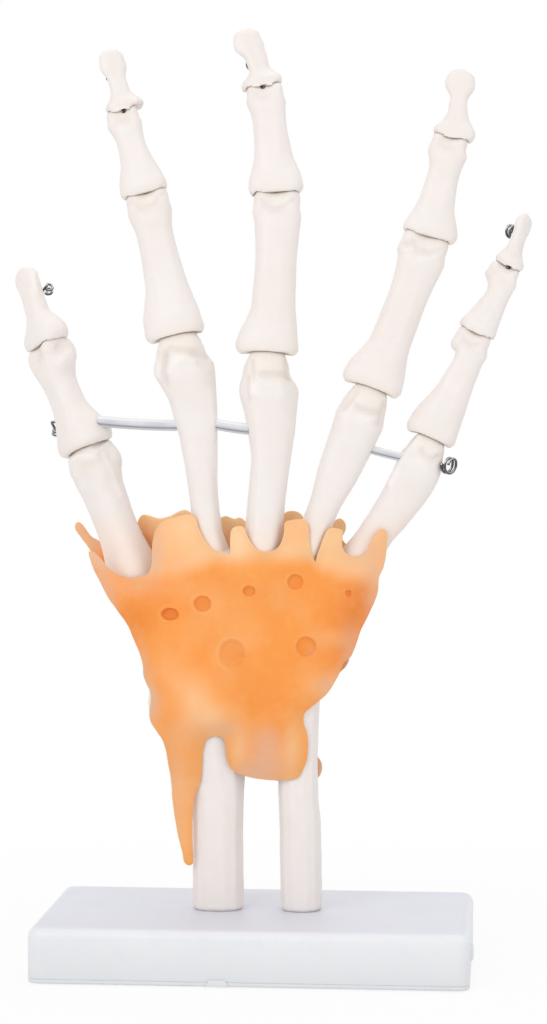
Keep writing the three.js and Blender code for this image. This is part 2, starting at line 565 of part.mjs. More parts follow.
/** The bones' front or back surface over a grid, as the y nearest to the viewer on that side. */
function reliefOf(solids, side, grid) {
  const relief = Array.from({ length: grid.columns * grid.rows }, () => side * SHEET.parting);
  for (const solid of solids) {
    const { vertProperties: v, triVerts: t } = solid.getMesh();
    for (let i = 0; i < t.length; i += 3) {
      const [a, b, c] = [t[i], t[i + 1], t[i + 2]].map(k => [v[3 * k], v[3 * k + 1], v[3 * k + 2]]);
      const area = (b[0] - a[0]) * (c[2] - a[2]) - (c[0] - a[0]) * (b[2] - a[2]);
      if (Math.abs(area) < 1e-6) continue;
      const columns = grid.span(0, Math.min(a[0], b[0], c[0]), Math.max(a[0], b[0], c[0]));
      const rows = grid.span(1, Math.min(a[2], b[2], c[2]), Math.max(a[2], b[2], c[2]));
      for (let row = rows[0]; row <= rows[1]; row++) {
        for (let column = columns[0]; column <= columns[1]; column++) {
          const [x, z] = grid.at(column, row);
          const q = ((x - a[0]) * (c[2] - a[2]) - (c[0] - a[0]) * (z - a[2])) / area;
          const r = ((b[0] - a[0]) * (z - a[2]) - (x - a[0]) * (b[2] - a[2])) / area;
          if (q < 0 || r < 0 || q + r > 1) continue;
          const y = a[1] + q * (b[1] - a[1]) + r * (c[1] - a[1]);
          const k = row * grid.columns + column;
          relief[k] = side < 0 ? Math.min(relief[k], y) : Math.max(relief[k], y);
        }
      }
    }
  }
  return relief;
}

function gridOver(box, step) {
  const columns = Math.ceil((box[1] - box[0]) / step) + 1;
  const rows = Math.ceil((box[3] - box[2]) / step) + 1;
  const clamp = (value, count) => Math.min(count - 1, Math.max(0, value));
  return {
    columns, rows, step,
    at: (column, row) => [box[0] + column * step, box[2] + row * step],
    span: (axis, low, high) => {
      const [start, count] = axis ? [box[2], rows] : [box[0], columns];
      return [Math.ceil((low - start) / step), Math.floor((high - start) / step)]
        .map(index => clamp(index, count));
    },
  };
}

/** A sheet stretched over the bones on one side: -1 is the back of the hand, +1 the palm. */
function ligamentSheet(side, outline, dimples = []) {
  const xs = outline.map(p => p[0]);
  const zs = outline.map(p => WRIST.z + p[1]);
  const box = [Math.min(...xs) - SHEET.step, Math.max(...xs) + SHEET.step,
    Math.min(...zs) - SHEET.step, Math.max(...zs) + SHEET.step];
  const fine = gridOver(box, SHEET.step / 3);
  const relief = reliefOf(handBones, side, fine);
  const grid = gridOver(box, SHEET.step);
  const away = (a, b) => side < 0 ? Math.min(a, b) : Math.max(a, b);

  // Each grid point clears the highest bone within one step, so the facets between clear it too.
  const floor = [];
  for (let row = 0; row < grid.rows; row++) {
    for (let column = 0; column < grid.columns; column++) {
      let y = side * SHEET.parting;
      for (let j = -3; j <= 3; j++) {
        for (let i = -3; i <= 3; i++) {
          const [c, r] = [3 * column + i, 3 * row + j];
          if (c < 0 || r < 0 || c >= fine.columns || r >= fine.rows) continue;
          const height = relief[r * fine.columns + c];
          y = away(y, height === side * SHEET.parting ? height : height + side * SHEET_GAP);
        }
      }
      floor.push(y);
    }
  }
  // The sheet is drawn flat between the bones that it rests on, and in towards the other sheet.
  let height = [...floor];
  const inside = (value, count) => Math.min(count - 1, Math.max(0, value));
  const value = (column, row) =>
    height[inside(row, grid.rows) * grid.columns + inside(column, grid.columns)];
  for (let pass = 0; pass < 160; pass++) {
    height = height.map((_, k) => {
      const [column, row] = [k % grid.columns, Math.floor(k / grid.columns)];
      const around = value(column - 1, row) + value(column + 1, row)
        + value(column, row - 1) + value(column, row + 1);
      return away(floor[k], (around + SHEET.pull * side * SHEET.parting) / (4 + SHEET.pull));
    });
  }
  const thickness = z => z > WRIST.z + SHEET.tailTop ? SHEET.thickness : SHEET.tail;
  const points = [];
  for (const outer of [0, 1]) {
    for (let k = 0; k < height.length; k++) {
      const [x, z] = grid.at(k % grid.columns, Math.floor(k / grid.columns));
      points.push(vector(x, height[k] + outer * side * thickness(z), z));
    }
  }
  const count = height.length;
  const faces = [];
  for (let row = 0; row + 1 < grid.rows; row++) {
    for (let column = 0; column + 1 < grid.columns; column++) {
      const a = row * grid.columns + column;
      const [b, c, d] = [a + 1, a + grid.columns, a + grid.columns + 1];
      faces.push(a, b, d, a, d, c, a + count, d + count, b + count, a + count, c + count, d + count);
    }
  }
  const rim = [];
  const [lastColumn, lastRow] = [grid.columns - 1, grid.rows - 1];
  for (let column = 0; column < lastColumn; column++) rim.push(column);
  for (let row = 0; row < lastRow; row++) rim.push(row * grid.columns + lastColumn);
  for (let column = lastColumn; column > 0; column--) rim.push(lastRow * grid.columns + column);
  for (let row = lastRow; row > 0; row--) rim.push(row * grid.columns);
  rim.forEach((a, i) => {
    const b = rim[(i + 1) % rim.length];
    faces.push(b, a, a + count, b, a + count, b + count);
  });
  const slab = solidOf(points, faces);

  const curve = new THREE.CatmullRomCurve3(outline.map(([x, height]) => vector(x, WRIST.z + height, 0)),
    true, 'centripetal');
  const edge = curve.getPoints(Math.round(outline.length * 1.6)).slice(0, -1);
  const shape = new THREE.Shape(edge.map(p => new THREE.Vector2(p.x, p.y)));
  const prism = new THREE.ExtrudeGeometry(shape, { depth: 4 * WRIST.radius, bevelEnabled: false });
  prism.translate(0, 0, -2 * WRIST.radius).rotateX(Math.PI / 2);
  let sheet = slab.intersect(solidFrom(prism));
  for (const [x, above, halfWidth, halfHeight] of dimples) {
    const z = WRIST.z + above;
    const column = Math.round((x - box[0]) / SHEET.step);
    const row = Math.round((z - box[2]) / SHEET.step);
    const bottom = value(column, row) + side * (SHEET.thickness - SHEET.dimple);
    const hollow = [bottom, bottom + side * WRIST.radius].map(y => Array.from({ length: 12 }, (_, i) => {
      const angle = 2 * Math.PI * i / 12;
      return vector(x + halfWidth * Math.cos(angle), y, z + halfHeight * Math.sin(angle));
    }));
    sheet = sheet.subtract(skin(hollow));
  }
  return mainBody(sheet);
}

const dorsalSheet = ligamentSheet(-1, DORSAL_OUTLINE, DIMPLES);
const palmarSheet = ligamentSheet(1, PALMAR_OUTLINE);

// The base.
/** A rounded rectangle drawn in from the base's outline, at a height. */
function baseRing(z, inset) {
  const corner = Math.max(0.4, BASE.corner - inset);
  const [w, d] = [BASE.width / 2 - inset - corner, BASE.depth / 2 - inset - corner];
  return [[1, 1, 0], [-1, 1, 90], [-1, -1, 180], [1, -1, 270]].flatMap(([sx, sy, turn]) =>
    [0, 30, 60, 90].map(angle => {
      const heading = radians(turn + angle);
      return vector(sx * w + corner * Math.cos(heading), sy * d + corner * Math.sin(heading), z);
    }));
}

const cylinderAt = (x, y, from, to, diameter, sides = 16) => {
  const geometry = new THREE.CylinderGeometry(diameter / 2, diameter / 2, to - from, sides);
  return solidFrom(geometry.rotateX(Math.PI / 2).translate(x, y, (from + to) / 2));
};
/** A box from the named corner sizes: low and high X, Y and Z. */
const boxAt = (x0, x1, y0, y1, z0, z1) => solidFrom(new THREE.BoxGeometry(x1 - x0, y1 - y0, z1 - z0)
  .translate((x0 + x1) / 2, (y0 + y1) / 2, (z0 + z1) / 2));

// The shell is hollow below. Each forearm bone's screw comes up through a boss in it.
const front = -BASE.depth / 2;
const bossFoot = BASE.plate + SCREW.headHeight + SCREW.recess;
const screwHole = SCREW.shank + 2 * SEAT_GAP;
const screwPlaces = [RADIUS, ULNA].map(keys => [(keys[0][1] + keys[0][2]) / 2, 0]);
let shell = skin([
  baseRing(BASE.plate, 0), baseRing(BASE.height - BASE.fillet, 0),
  ...[30, 60, 90].map(radians).map(angle => baseRing(
    BASE.height - BASE.fillet * (1 - Math.sin(angle)), BASE.fillet * (1 - Math.cos(angle)))),
]).subtract(skin([BASE.plate - 1, BASE.height - BASE.wall].map(z => baseRing(z, BASE.wall))));
shell = shell.add(boxAt(BASE.width / 2 - BASE.wall / 2, BASE.width / 2 + NUB.reach,
  front + NUB.setback - NUB.width / 2, front + NUB.setback + NUB.width / 2,
  BASE.height - NUB.drop - NUB.height / 2, BASE.height - NUB.drop + NUB.height / 2));
for (const [x, y] of screwPlaces) {
  shell = shell.add(cylinderAt(x, y, bossFoot, BASE.height - BASE.wall / 2, SCREW.boss))
    .subtract(cylinderAt(x, y, 0, BASE.height + 1, screwHole));
}
// The bottom plate's tab rises outside the front wall, clear of it.
const tabSides = [TAB.at - TAB.width / 2, TAB.at + TAB.width / 2];
const plate = skin([0, BASE.plate].map(z => baseRing(z, 0)))
  .add(boxAt(...tabSides, front - TAB.reach, front + 1, 0, BASE.plate))
  .add(boxAt(...tabSides, front - TAB.reach, front - 0.1, 0, TAB.height));
const headTop = bossFoot - SEAT_GAP;
const screwProfile = [
  [0, headTop - SCREW.headHeight], [SCREW.head * 0.4, headTop - SCREW.headHeight],
  [SCREW.head / 2, headTop - SCREW.headHeight / 2], [SCREW.head / 2, headTop], [SCREW.shank / 2, headTop],
  [SCREW.shank / 2, BASE.height + SCREW.bite - 2], [0, BASE.height + SCREW.bite],
].map(([r, z]) => new THREE.Vector2(r, z));
const screws = screwPlaces.map(([x, y]) =>
  solidFrom(new THREE.LatheGeometry(screwProfile, 14).rotateX(Math.PI / 2).translate(x, y, 0)));
const pilots = screwPlaces.map(([x, y]) =>
  cylinderAt(x, y, BASE.height - 1, BASE.height + SCREW.bite + 1, screwHole, 12));

// The scene graph.
/** A named mesh whose geometry sits in its own frame, inside the parent's frame. */
function place(parent, name, solid, look, frame = new THREE.Matrix4()) {
  const mesh = new THREE.Mesh(geometryOf(solid).applyMatrix4(frame.clone().invert()), look);
  mesh.name = name;
  const holder = new THREE.Group();
  holder.name = `${name}_pivot`;
  const parentFrame = parent.userData.frame || new THREE.Matrix4();
  holder.applyMatrix4(parentFrame.clone().invert().multiply(frame));
  holder.userData.frame = frame;
  holder.add(mesh);
  parent.add(holder);
  return holder;
}

const model = new THREE.Group();
model.name = 'hand_model';
place(model, 'base_shell', shell, LOOKS.base());
place(model, 'base_bottom_plate', plate, LOOKS.base());
place(model, 'base_screw_radius', screws[0], LOOKS.screw());
place(model, 'base_screw_ulna', screws[1], LOOKS.screw());
place(model, 'radius', radius.subtract(pilots[0]), LOOKS.bone());
place(model, 'ulna', ulna.subtract(pilots[1]), LOOKS.bone());

// Everything from the wrist up turns about the wrist hinge.
const hand = new THREE.Group();
hand.name = 'hand_pivot';
hand.userData.frame = new THREE.Matrix4().makeTranslation(WRIST.x, 0, WRIST.z);
hand.applyMatrix4(hand.userData.frame);
model.add(hand);
for (const [name, solid] of Object.entries(carpals)) place(hand, name, solid, LOOKS.bone());
place(hand, 'dorsal_ligament', dorsalSheet, LOOKS.sheet());
place(hand, 'palmar_ligament', palmarSheet, LOOKS.sheet());
for (const [name, digit] of Object.entries(digits)) {
  let parent = hand;
  for (const bone of digit.bones) {
    parent = place(parent, `${name}_${bone.name}`, bone.solid, LOOKS.bone(), bone.frame);
  }
  place(hand, `${name}_wire`, digit.wire, LOOKS.wire());
}
place(hand, 'spreader_wire_radial', radialSpreader.wire, LOOKS.wire());
place(hand, 'spreader_wire_ulnar', ulnarSpreader.wire, LOOKS.wire());
place(hand, 'spacer_thumb_index', radialSpreader.spacers[0], LOOKS.tube());
place(hand, 'spacer_index_middle', radialSpreader.spacers[1], LOOKS.tube());
place(hand, 'spacer_ring_little', ulnarSpreader.spacers[0], LOOKS.tube());

export default model;
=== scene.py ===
"""A jointed hand skeleton on a plastic base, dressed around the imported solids.

Everything is worked out in millimetres, in the frame of the solids, and turned into metres where
a mesh becomes a piece. The back of the hand faces -Y and the thumb is towards -X.
"""

import math

import bmesh
import bpy
import numpy as np
from mathutils import Matrix, Vector, geometry, noise


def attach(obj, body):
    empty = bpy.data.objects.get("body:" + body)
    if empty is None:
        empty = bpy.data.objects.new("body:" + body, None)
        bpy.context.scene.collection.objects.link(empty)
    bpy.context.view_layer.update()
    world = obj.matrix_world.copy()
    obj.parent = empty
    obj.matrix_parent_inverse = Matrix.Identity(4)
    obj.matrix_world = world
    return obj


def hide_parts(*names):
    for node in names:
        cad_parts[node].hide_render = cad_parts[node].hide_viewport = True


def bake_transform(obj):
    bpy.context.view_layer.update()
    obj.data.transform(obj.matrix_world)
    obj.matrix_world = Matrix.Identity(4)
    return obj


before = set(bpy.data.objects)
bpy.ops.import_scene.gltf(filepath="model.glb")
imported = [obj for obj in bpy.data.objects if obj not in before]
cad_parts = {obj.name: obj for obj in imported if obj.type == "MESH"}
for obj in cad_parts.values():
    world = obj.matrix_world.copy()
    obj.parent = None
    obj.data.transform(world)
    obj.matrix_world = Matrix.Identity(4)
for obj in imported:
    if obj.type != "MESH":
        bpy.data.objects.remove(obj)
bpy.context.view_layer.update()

MM = 0.001
TAU = 2 * math.pi


# The sizes that the solids are made from, in millimetres. WRIST is the height of the wrist hinge, and
# heights in the tables are measured from it. A socket reaches a share of the knuckle's radius past the
# hinge, and its rim has an arch and a least wall.
WRIST = 96.5
JOINT_GAP = 0.4
SOCKET_REACH = 0.68
RIM_ARCH = .6
RIM_WALL = .45
BASE = {"width": 126.1, "shift": -.55, "depth": 76, "height": 16, "plate": 1.2, "wall": 2.2, "corner": 3.6,
        "fillet": 3}
TAB = {"at": -9, "width": 5.6, "height": 1.9, "reach": 0.7}
NUB = {"width": 7, "height": 4.4, "reach": 1, "setback": 9, "drop": 6.4}
SCREW_PLACES = (-12.3, 12.35)
WIRE = {"radius": 0.4, "bore": 0.85, "anchor": 10, "pitch": 1.26, "tip_turns": 1.75, "coil_turns": 2}
SEAT_GAP = 0.3
SHEET = {"thickness": 2.3, "tail": 1.6, "tail_top": -26.5, "parting": 0.35, "gap": 0.4, "pull": 0.0024}

# Each digit's joints, and its bones as stations of [share, left, right, depth] with a knuckle of
# [left, right, radius]. A bone's foot can slant ("shear"), sink ("drop"), have a socket that is wider to
# the left or right ("open"), or keep its own share of the solid ("foot"). A bone can turn about its
# length ("spin") and bend aside ("lean"). The eye ends the wire behind the last bone.
DIGITS = {
    "thumb": {
        "gaps": [[-34.8, 5, 10.2], [-51.9, 9, 55], [-65, 12.5, 85.7], [-73.5, 16.5, 108.8]],
        "twist": -50,
        "bones": [
            {"name": "metacarpal", "knuckle": [8.8, 8.2, 7.3],
             "stations": [[.1, 8.6, 8.4, 14.5], [.48, 6.4, 7.1, 10.6], [.72, 7.5, 6.8, 11.2],
                          [.9, 8.8, 8.2, 13.2]]},
            {"name": "proximal_phalanx", "knuckle": [6.8, 6.3, 5.8],
             "stations": [[.1, 8.8, 8.6, 14.8], [.42, 6.1, 5.3, 9.4], [.62, 6.2, 4.9, 9],
                          [.84, 7.2, 7.1, 11.6]]},
            {"name": "distal_phalanx",
             "stations": [[.14, 7.4, 8.2, 10.8], [.42, 3.8, 4.3, 6], [.7, 2.8, 4.4, 6],
                          [.86, 4.6, 4.6, 5.6]]},
        ],
        "eye": {"centre": [-65.3, 16.84, 198.95], "axis": [-.22, .6, -.77], "leave": .7, "radius": .92,
                "turn": -25, "turns": 2.2, "pitch": 1.55},
    },
    "index": {
        "gaps": [[-11.8, -2, 16.7], [-23.7, -3, 88], [-34.1, .6, 129.6], [-41.3, 4.5, 154.4],
                 [-45.9, 8.5, 173.2]],
        "twist": 0,
        "bones": [
            {"name": "metacarpal", "knuckle": [8.5, 7.3, 7.5],
             "foot": .12,
             "stations": [[.1, 6.6, 4.3, 14], [.2, 5.8, 3.1, 11.6], [.34, 5, 3.6, 9], [.54, 4.8, 5.7, 9.4],
                          [.74, 6.2, 8, 11.4], [.88, 9, 8.7, 14.2]]},
            {"name": "proximal_phalanx", "knuckle": [6.3, 6.4, 4.7],
             "stations": [[.1, 9.6, 7.9, 13.5], [.4, 6.4, 6.1, 8.4], [.7, 5.6, 5.4, 8],
                          [.88, 6.3, 6.3, 8.8]]},
            {"name": "middle_phalanx", "knuckle": [5.5, 4.2, 3.6],
             "stations": [[.14, 7, 6.7, 9.6], [.42, 5, 4.8, 6.8], [.62, 4.5, 3.9, 6], [.88, 5.5, 4.2, 6.8]]},
            {"name": "distal_phalanx", "spin": 26, "shear": -.1, "drop": .8, "open": [0, 2.2],
             "stations": [[.1, 4.8, 5.9, 6.8], [.36, 2.7, 3.1, 4.2], [.52, 2.9, 2.9, 3.8],
                          [.72, 4.6, 4, 3.6]]},
        ],
        "eye": {"at": .605, "radius": 1.8, "turn": 15.5},
    },
    "middle": {
        "gaps": [[.7, -3, 15.2], [2.2, -4, 83], [4, 0, 129.7], [.1, 5, 161.3], [-5.6, 8.7, 178.9]],
        "twist": 0,
        "bones": [
            {"name": "metacarpal", "knuckle": [7.5, 7.2, 7.8],
             "stations": [[.1, 6, 5.2, 14.5], [.38, 4.9, 6.4, 9.6], [.54, 4.2, 7.6, 9.8], [.72, 6.2, 9, 12],
                          [.84, 8, 9.3, 14.4]]},
            {"name": "proximal_phalanx", "knuckle": [6.3, 7.5, 5],
             "stations": [[.07, 9.5, 8.7, 14], [.3, 5.7, 7.6, 9], [.55, 5.1, 7.3, 8.4], [.86, 6, 7.8, 9.2]]},
            {"name": "middle_phalanx", "knuckle": [5.3, 5.7, 3.8],
             "stations": [[.12, 7.1, 8.8, 10.2], [.36, 4.9, 6.7, 7], [.66, 4.3, 5.7, 6.2],
                          [.86, 5.2, 5.9, 7.2]]},
            {"name": "distal_phalanx", "spin": 20, "shear": -.22, "drop": .7, "open": [0, .8],
             "stations": [[.1, 5.8, 5.9, 7.2], [.34, 2.5, 4, 4.4], [.5, 2.7, 4.1, 4], [.7, 5.2, 4.2, 3.6]]},
        ],
        "eye": {"at": .47, "radius": 1.8, "turn": 9.5},
    },
    "ring": {
        "gaps": [[10.6, -2, 15.1], [32.4, -2, 72.7], [48.1, 2, 117.1], [55.1, 6.6, 146.2], [57.8, 11, 167.1]],
        "twist": 0,
        "bones": [
            {"name": "metacarpal", "knuckle": [7.1, 7, 7],
             "stations": [[.1, 5.8, 3.6, 12.5], [.4, 5.3, 3.9, 8.4], [.56, 6.5, 5.6, 9.4],
                          [.84, 7.3, 7.1, 12.8]]},
            {"name": "proximal_phalanx", "knuckle": [6.8, 7.3, 4.8],
             "stations": [[.08, 9.4, 8.5, 13], [.32, 5.6, 6.7, 8.6], [.6, 5.1, 6.8, 8],
                          [.88, 6.4, 7.7, 8.8]]},
            {"name": "middle_phalanx", "knuckle": [5.6, 5.2, 3.6],
             "stations": [[.09, 7, 8.8, 9.6], [.36, 4.9, 6.1, 6.6], [.66, 4.3, 5.2, 6],
                          [.86, 5.7, 5.7, 6.8]]},
            {"name": "distal_phalanx", "shear": .06, "drop": .5,
             "stations": [[.12, 5.1, 6.7, 6.8], [.38, 2, 4.1, 4.2], [.56, 1.8, 3.4, 3.8],
                          [.78, 4.3, 5, 3.4]]},
        ],
        "eye": {"at": .5, "radius": 1.8, "turn": 0},
    },
    "little": {
        "gaps": [[25.8, 0, 15], [49.6, 2, 58.1], [62.4, 4.8, 89], [71.7, 8, 108.3], [78.2, 11.6, 124.3]],
        "twist": 0,
        "bones": [
            {"name": "metacarpal", "knuckle": [6.2, 7, 6.2],
             "stations": [[.1, 7.6, 5, 12], [.32, 5.9, 4.7, 7.6], [.5, 5.3, 6.4, 8], [.74, 5.2, 8.1, 10],
                          [.88, 6.4, 7.3, 11.4]]},
            {"name": "proximal_phalanx", "knuckle": [5.4, 5.3, 4],
             "stations": [[.12, 7.7, 7.3, 11], [.5, 4.1, 6.1, 7.4], [.76, 3, 5.6, 6.8], [.9, 5.2, 5.8, 7.4]]},
            {"name": "middle_phalanx", "knuckle": [5.2, 4.1, 3.1],
             "stations": [[.12, 5.4, 5.2, 7.8], [.38, 3.9, 4.9, 5.6], [.62, 2.8, 4.5, 5],
                          [.88, 5.2, 4.5, 5.8]]},
            {"name": "distal_phalanx", "spin": 55, "shear": -.28, "lean": -.9,
             "stations": [[.12, 4, 3.9, 6.8], [.4, 2.7, 2.6, 3.8], [.6, 2.6, 2.4, 3.6], [.8, 3.4, 3.2, 3.4]]},
        ],
        "eye": {"at": .6, "radius": 1.8, "turn": 55},
    },
}
CARPALS = ["capitate", "scaphoid", "lunate", "hamate", "trapezoid", "trapezium", "triquetrum", "pisiform"]

# Outlines of the ligament sheets, seen from the back of the hand: X and height, clockwise. They follow
# the solids' outlines, with the small tabs and waves of hand-cut rubber.
DORSAL_OUTLINE = [
    [-50.3, 24.9], [-49.1, 24.6], [-47.2, 22.9], [-45.2, 20.5], [-43.1, 18.8], [-40.3, 17.4], [-36.8, 17.1],
    [-33.2, 18], [-31.7, 20.1], [-31.4, 24], [-31.3, 27.2], [-30.5, 31], [-28.7, 33.6], [-24.5, 35.2],
    [-21.1, 36.1], [-19, 35.6], [-17.5, 31.8], [-15.4, 28.3], [-13.1, 26], [-10.4, 25.2], [-8.2, 24.9],
    [-8.1, 28.1], [-7.8, 31.3], [-6.9, 32.5], [-4.6, 32.8], [-3.7, 31.1], [-2.2, 28.5], [-.1, 26.2],
    [2.5, 25.6], [5.1, 26.2], [6.8, 28.2], [7.6, 31.1], [7.9, 34], [9.3, 34.6], [13.6, 34.6], [14.5, 32.6],
    [14.8, 28.2], [15.5, 24.7], [16.5, 22.6], [17.3, 24.8], [18.3, 27.7], [19.4, 30.6], [20.6, 32.3],
    [22.6, 32.3], [24.3, 31.7], [24.3, 29.7], [24.1, 27.7], [24.6, 25.6], [26.4, 24.4], [28.4, 24.1],
    [30.4, 24.7], [31.9, 26.2], [33, 28.8], [34.1, 31.1], [35.6, 32.3], [36.7, 31.7], [37, 29.1],
    [36.8, 24.7], [36.2, 21.5], [34.8, 18.3], [34.4, 14.5], [33.8, 11.6], [31.4, 6.4], [29, 1.4],
    [27.9, -2.4], [26.6, -5.2], [24.6, -6.8], [23.4, -9.8], [20.4, -15.2], [17.4, -18.2], [15.4, -19.8],
    [13.2, -21.9], [13, -24.4], [14.1, -27.9], [14.3, -32.4], [13.5, -36.8], [12, -39.8], [10.2, -41],
    [6.4, -41.3], [1.2, -41.1], [-3.8, -40.2], [-7.2, -38.7], [-8.7, -35.4], [-9.2, -30.9], [-10.3, -28.8],
    [-12.7, -28.3], [-15.3, -29.6], [-16.2, -33], [-16.5, -37.6], [-17.2, -42.8], [-18.8, -46.2],
    [-19.4, -51.6], [-19.5, -56.3], [-19.4, -62.2], [-19.5, -66.6], [-21.3, -66.4], [-22.4, -62.3],
    [-23.6, -58], [-24.9, -50], [-25.3, -44.5], [-26.2, -37.1], [-27.7, -30.3], [-29.8, -27.4],
    [-31.6, -24.5], [-31.9, -21.6], [-31.4, -18.7], [-31.6, -15.7], [-32.6, -14], [-33.8, -11.1],
    [-33.9, -8.6], [-34.9, -5.1], [-36.7, -.8], [-38.8, 3.6], [-41.9, 7.9], [-44.6, 11.7], [-46.7, 15.8],
    [-48.8, 19.6],
]
PALMAR_OUTLINE = [
    [-56.4, 31.4], [-55.9, 32.8], [-55, 32.4], [-53.4, 30.4], [-51.8, 28.4], [-49.6, 27.2], [-44, 24],
    [-38.5, 30.5], [-37.1, 34.2], [-35.9, 35.1], [-34.3, 34.8], [-32.5, 34.2], [-30.9, 34], [-28.1, 34.7],
    [-25.6, 36], [-22.6, 36.6], [-17, 30.5], [-12.2, 34.6], [-10.4, 34.9], [-8.6, 34.3], [-6.5, 34.6],
    [-1, 29], [5.4, 34.6], [6.8, 36.4], [8.6, 36.9], [10.4, 36.6], [11.8, 35.4], [13, 33], [17, 26],
    [20, 31], [21.2, 33.5], [22.7, 34.7], [24.2, 33.6], [24.6, 31.6], [23.6, 28.6], [29, 24.4], [34, 23.5],
    [33.2, 14.5], [29.4, 5], [26, -2.6], [25.5, -6.6], [24.6, -9.2], [22.4, -11.4], [18.2, -17.2],
    [14.6, -22], [13.8, -30], [15.4, -35], [17.4, -37.2], [17.8, -39.6], [16.4, -42.4], [13, -43.4],
    [4, -43.1], [-6, -41], [-9, -33.5], [-13, -29.5], [-18, -33], [-24.5, -31.5], [-30.4, -24.5],
    [-33.4, -17.2], [-34.3, -13], [-35.3, -9.4], [-35.2, -6], [-39, 3.4], [-45.9, 14.5], [-51.6, 24.3],
]
# Round hollows in the back sheet: X, height, half width, half height, depth.
DIMPLES = [
    [-25.9, 7, 2.6, 1.8, 1.2], [-16.2, 10.3, 2.6, 2.3, .9], [-2.5, 14.2, 1.8, 1.5, .8],
    [10.9, 16.9, 2.2, 2.2, .8], [-7.4, -4.2, 3.7, 4.1, .5], [14.1, -2, 2.9, 2.9, .8],
    [26.2, 13.6, .9, .9, .6],
]

# The spreader wires' routes, from the bone with the coil inwards.
RADIAL = {
    "points": [[-55.31, 7.55, 159.2], [-19.38, -5.04, 158.6], [1.71, -6.08, 157.5]],
    "shore": [-63.1, 10.28, 159.33], "coil_offset": [.5, 4.4, -3.2], "coil_axis": [.2, -.55, .8],
    "coil_radius": 1.2,
}
ULNAR = {
    "points": [[46.18, -.69, 148.4], [26.42, -4.4, 153.4]],
    "shore": [53.33, .66, 146.59], "coil_offset": [1.9, -2.2, .6], "coil_axis": [.8, -.58, -.16],
    "coil_radius": 2.25,
}
# Spacer tubes: ends and outer radius.
SPACERS = {
    "spacer_thumb_index": ([-46.33, 4.4, 159.05], [-25.87, -2.76, 158.71], 1.65),
    "spacer_index_middle": ([-12.48, -5.38, 158.24], [-4.47, -5.77, 157.82], 1.65),
    "spacer_ring_little": ([40.42, -1.77, 149.86], [33.25, -3.12, 151.67], 1.3),
}


# Mesh tools.
def unit(v):
    v = np.asarray(v, float)
    return v / np.linalg.norm(v)


def over_wrist(p):
    return np.array([p[0], p[1], WRIST + p[2]], float)


def circle(count, offset=0.):
    """The cosines and sines of angles spread evenly round a circle."""
    angle = TAU * (np.arange(count) + offset) / count
    return np.cos(angle), np.sin(angle)


def bell(off, wide, power=2):
    """1 where off is nothing, fading over a width."""
    return np.exp(-(off / wide) ** power)


def falling(t):
    """1 well below nothing and 0 well above it."""
    return 1 / (1 + np.exp(np.clip(t, -30, 30)))


def spaced(points, step, closed=False):
    """A line of points, or a loop that ends where it starts, with its points set about a step apart."""
    run = np.r_[0, np.cumsum(np.linalg.norm(np.diff(points, axis=0), axis=1))]
    count = int(run[-1] / step)
    where = np.linspace(0, run[-1], count if closed else max(2, count + 1), endpoint=not closed)
    return np.stack([np.interp(where, run, column) for column in points.T], 1)


def new_object(name, points, faces):
    mesh = bpy.data.meshes.new(name)
    mesh.from_pydata([tuple(p) for p in points], [], [tuple(int(i) for i in f) for f in faces])
    mesh.validate()
    mesh.update()
    made = bpy.data.objects.new(name, mesh)
    bpy.context.scene.collection.objects.link(made)
    return made


def skin(name, rings):
    """A closed solid over a stack of rings with the same number of points, capped by fans."""
    rings = np.asarray(rings, float)
    count, sides = rings.shape[:2]
    points = np.vstack([rings.reshape(-1, 3), rings[0].mean(0), rings[-1].mean(0)])
    faces = []
    for r in range(count - 1):
        for s in range(sides):
            t = (s + 1) % sides
            faces.append((r * sides + s, r * sides + t, (r + 1) * sides + t, (r + 1) * sides + s))
    low, high = len(points) - 2, len(points) - 1
    last = (count - 1) * sides
    for s in range(sides):
        t = (s + 1) % sides
        faces.append((low, t, s))
        faces.append((high, last + s, last + t))
    made = new_object(name, points, faces)
    face_outwards(made)
    return made


def face_outwards(obj):
    """Turns a closed mesh the right way out."""
    co, tris = arrays(obj)
    a, b, c = co[tris[:, 0]], co[tris[:, 1]], co[tris[:, 2]]
    if np.einsum("ij,ij->i", a, np.cross(b, c)).sum() < 0:
        obj.data.flip_normals()


def arrays(obj):
    mesh = obj.data
    co = np.zeros(len(mesh.vertices) * 3)
    mesh.vertices.foreach_get("co", co)
    mesh.calc_loop_triangles()
    tris = np.zeros(len(mesh.loop_triangles) * 3, int)
    mesh.loop_triangles.foreach_get("vertices", tris)
    return co.reshape(-1, 3), tris.reshape(-1, 3)


def settle(obj):
    """Makes an object's modifiers part of its mesh."""
    graph = bpy.context.evaluated_depsgraph_get()
    mesh = bpy.data.meshes.new_from_object(obj.evaluated_get(graph))
    old = obj.data
    obj.modifiers.clear()
    obj.data = mesh
    bpy.data.meshes.remove(old)
    return obj


def combine(obj, other, operation):
    """Joins to or cuts from obj the solid other, which is used up."""
    step = obj.modifiers.new("cut", "BOOLEAN")
    step.operation = operation
    step.solver = "MANIFOLD"
    step.object = other
    settle(obj)
    bpy.data.objects.remove(other)
    return obj


def remesh(obj, voxel):
    step = obj.modifiers.new("remesh", "REMESH")
    step.mode = "VOXEL"
    step.voxel_size = voxel
    step.adaptivity = 0
    return settle(obj)


def set_points(obj, co):
    obj.data.vertices.foreach_set("co", np.asarray(co, np.float32).ravel())
    obj.data.update()


def edges_of(obj):
    e = np.zeros(len(obj.data.edges) * 2, int)
    obj.data.edges.foreach_get("vertices", e)
    return e.reshape(-1, 2)


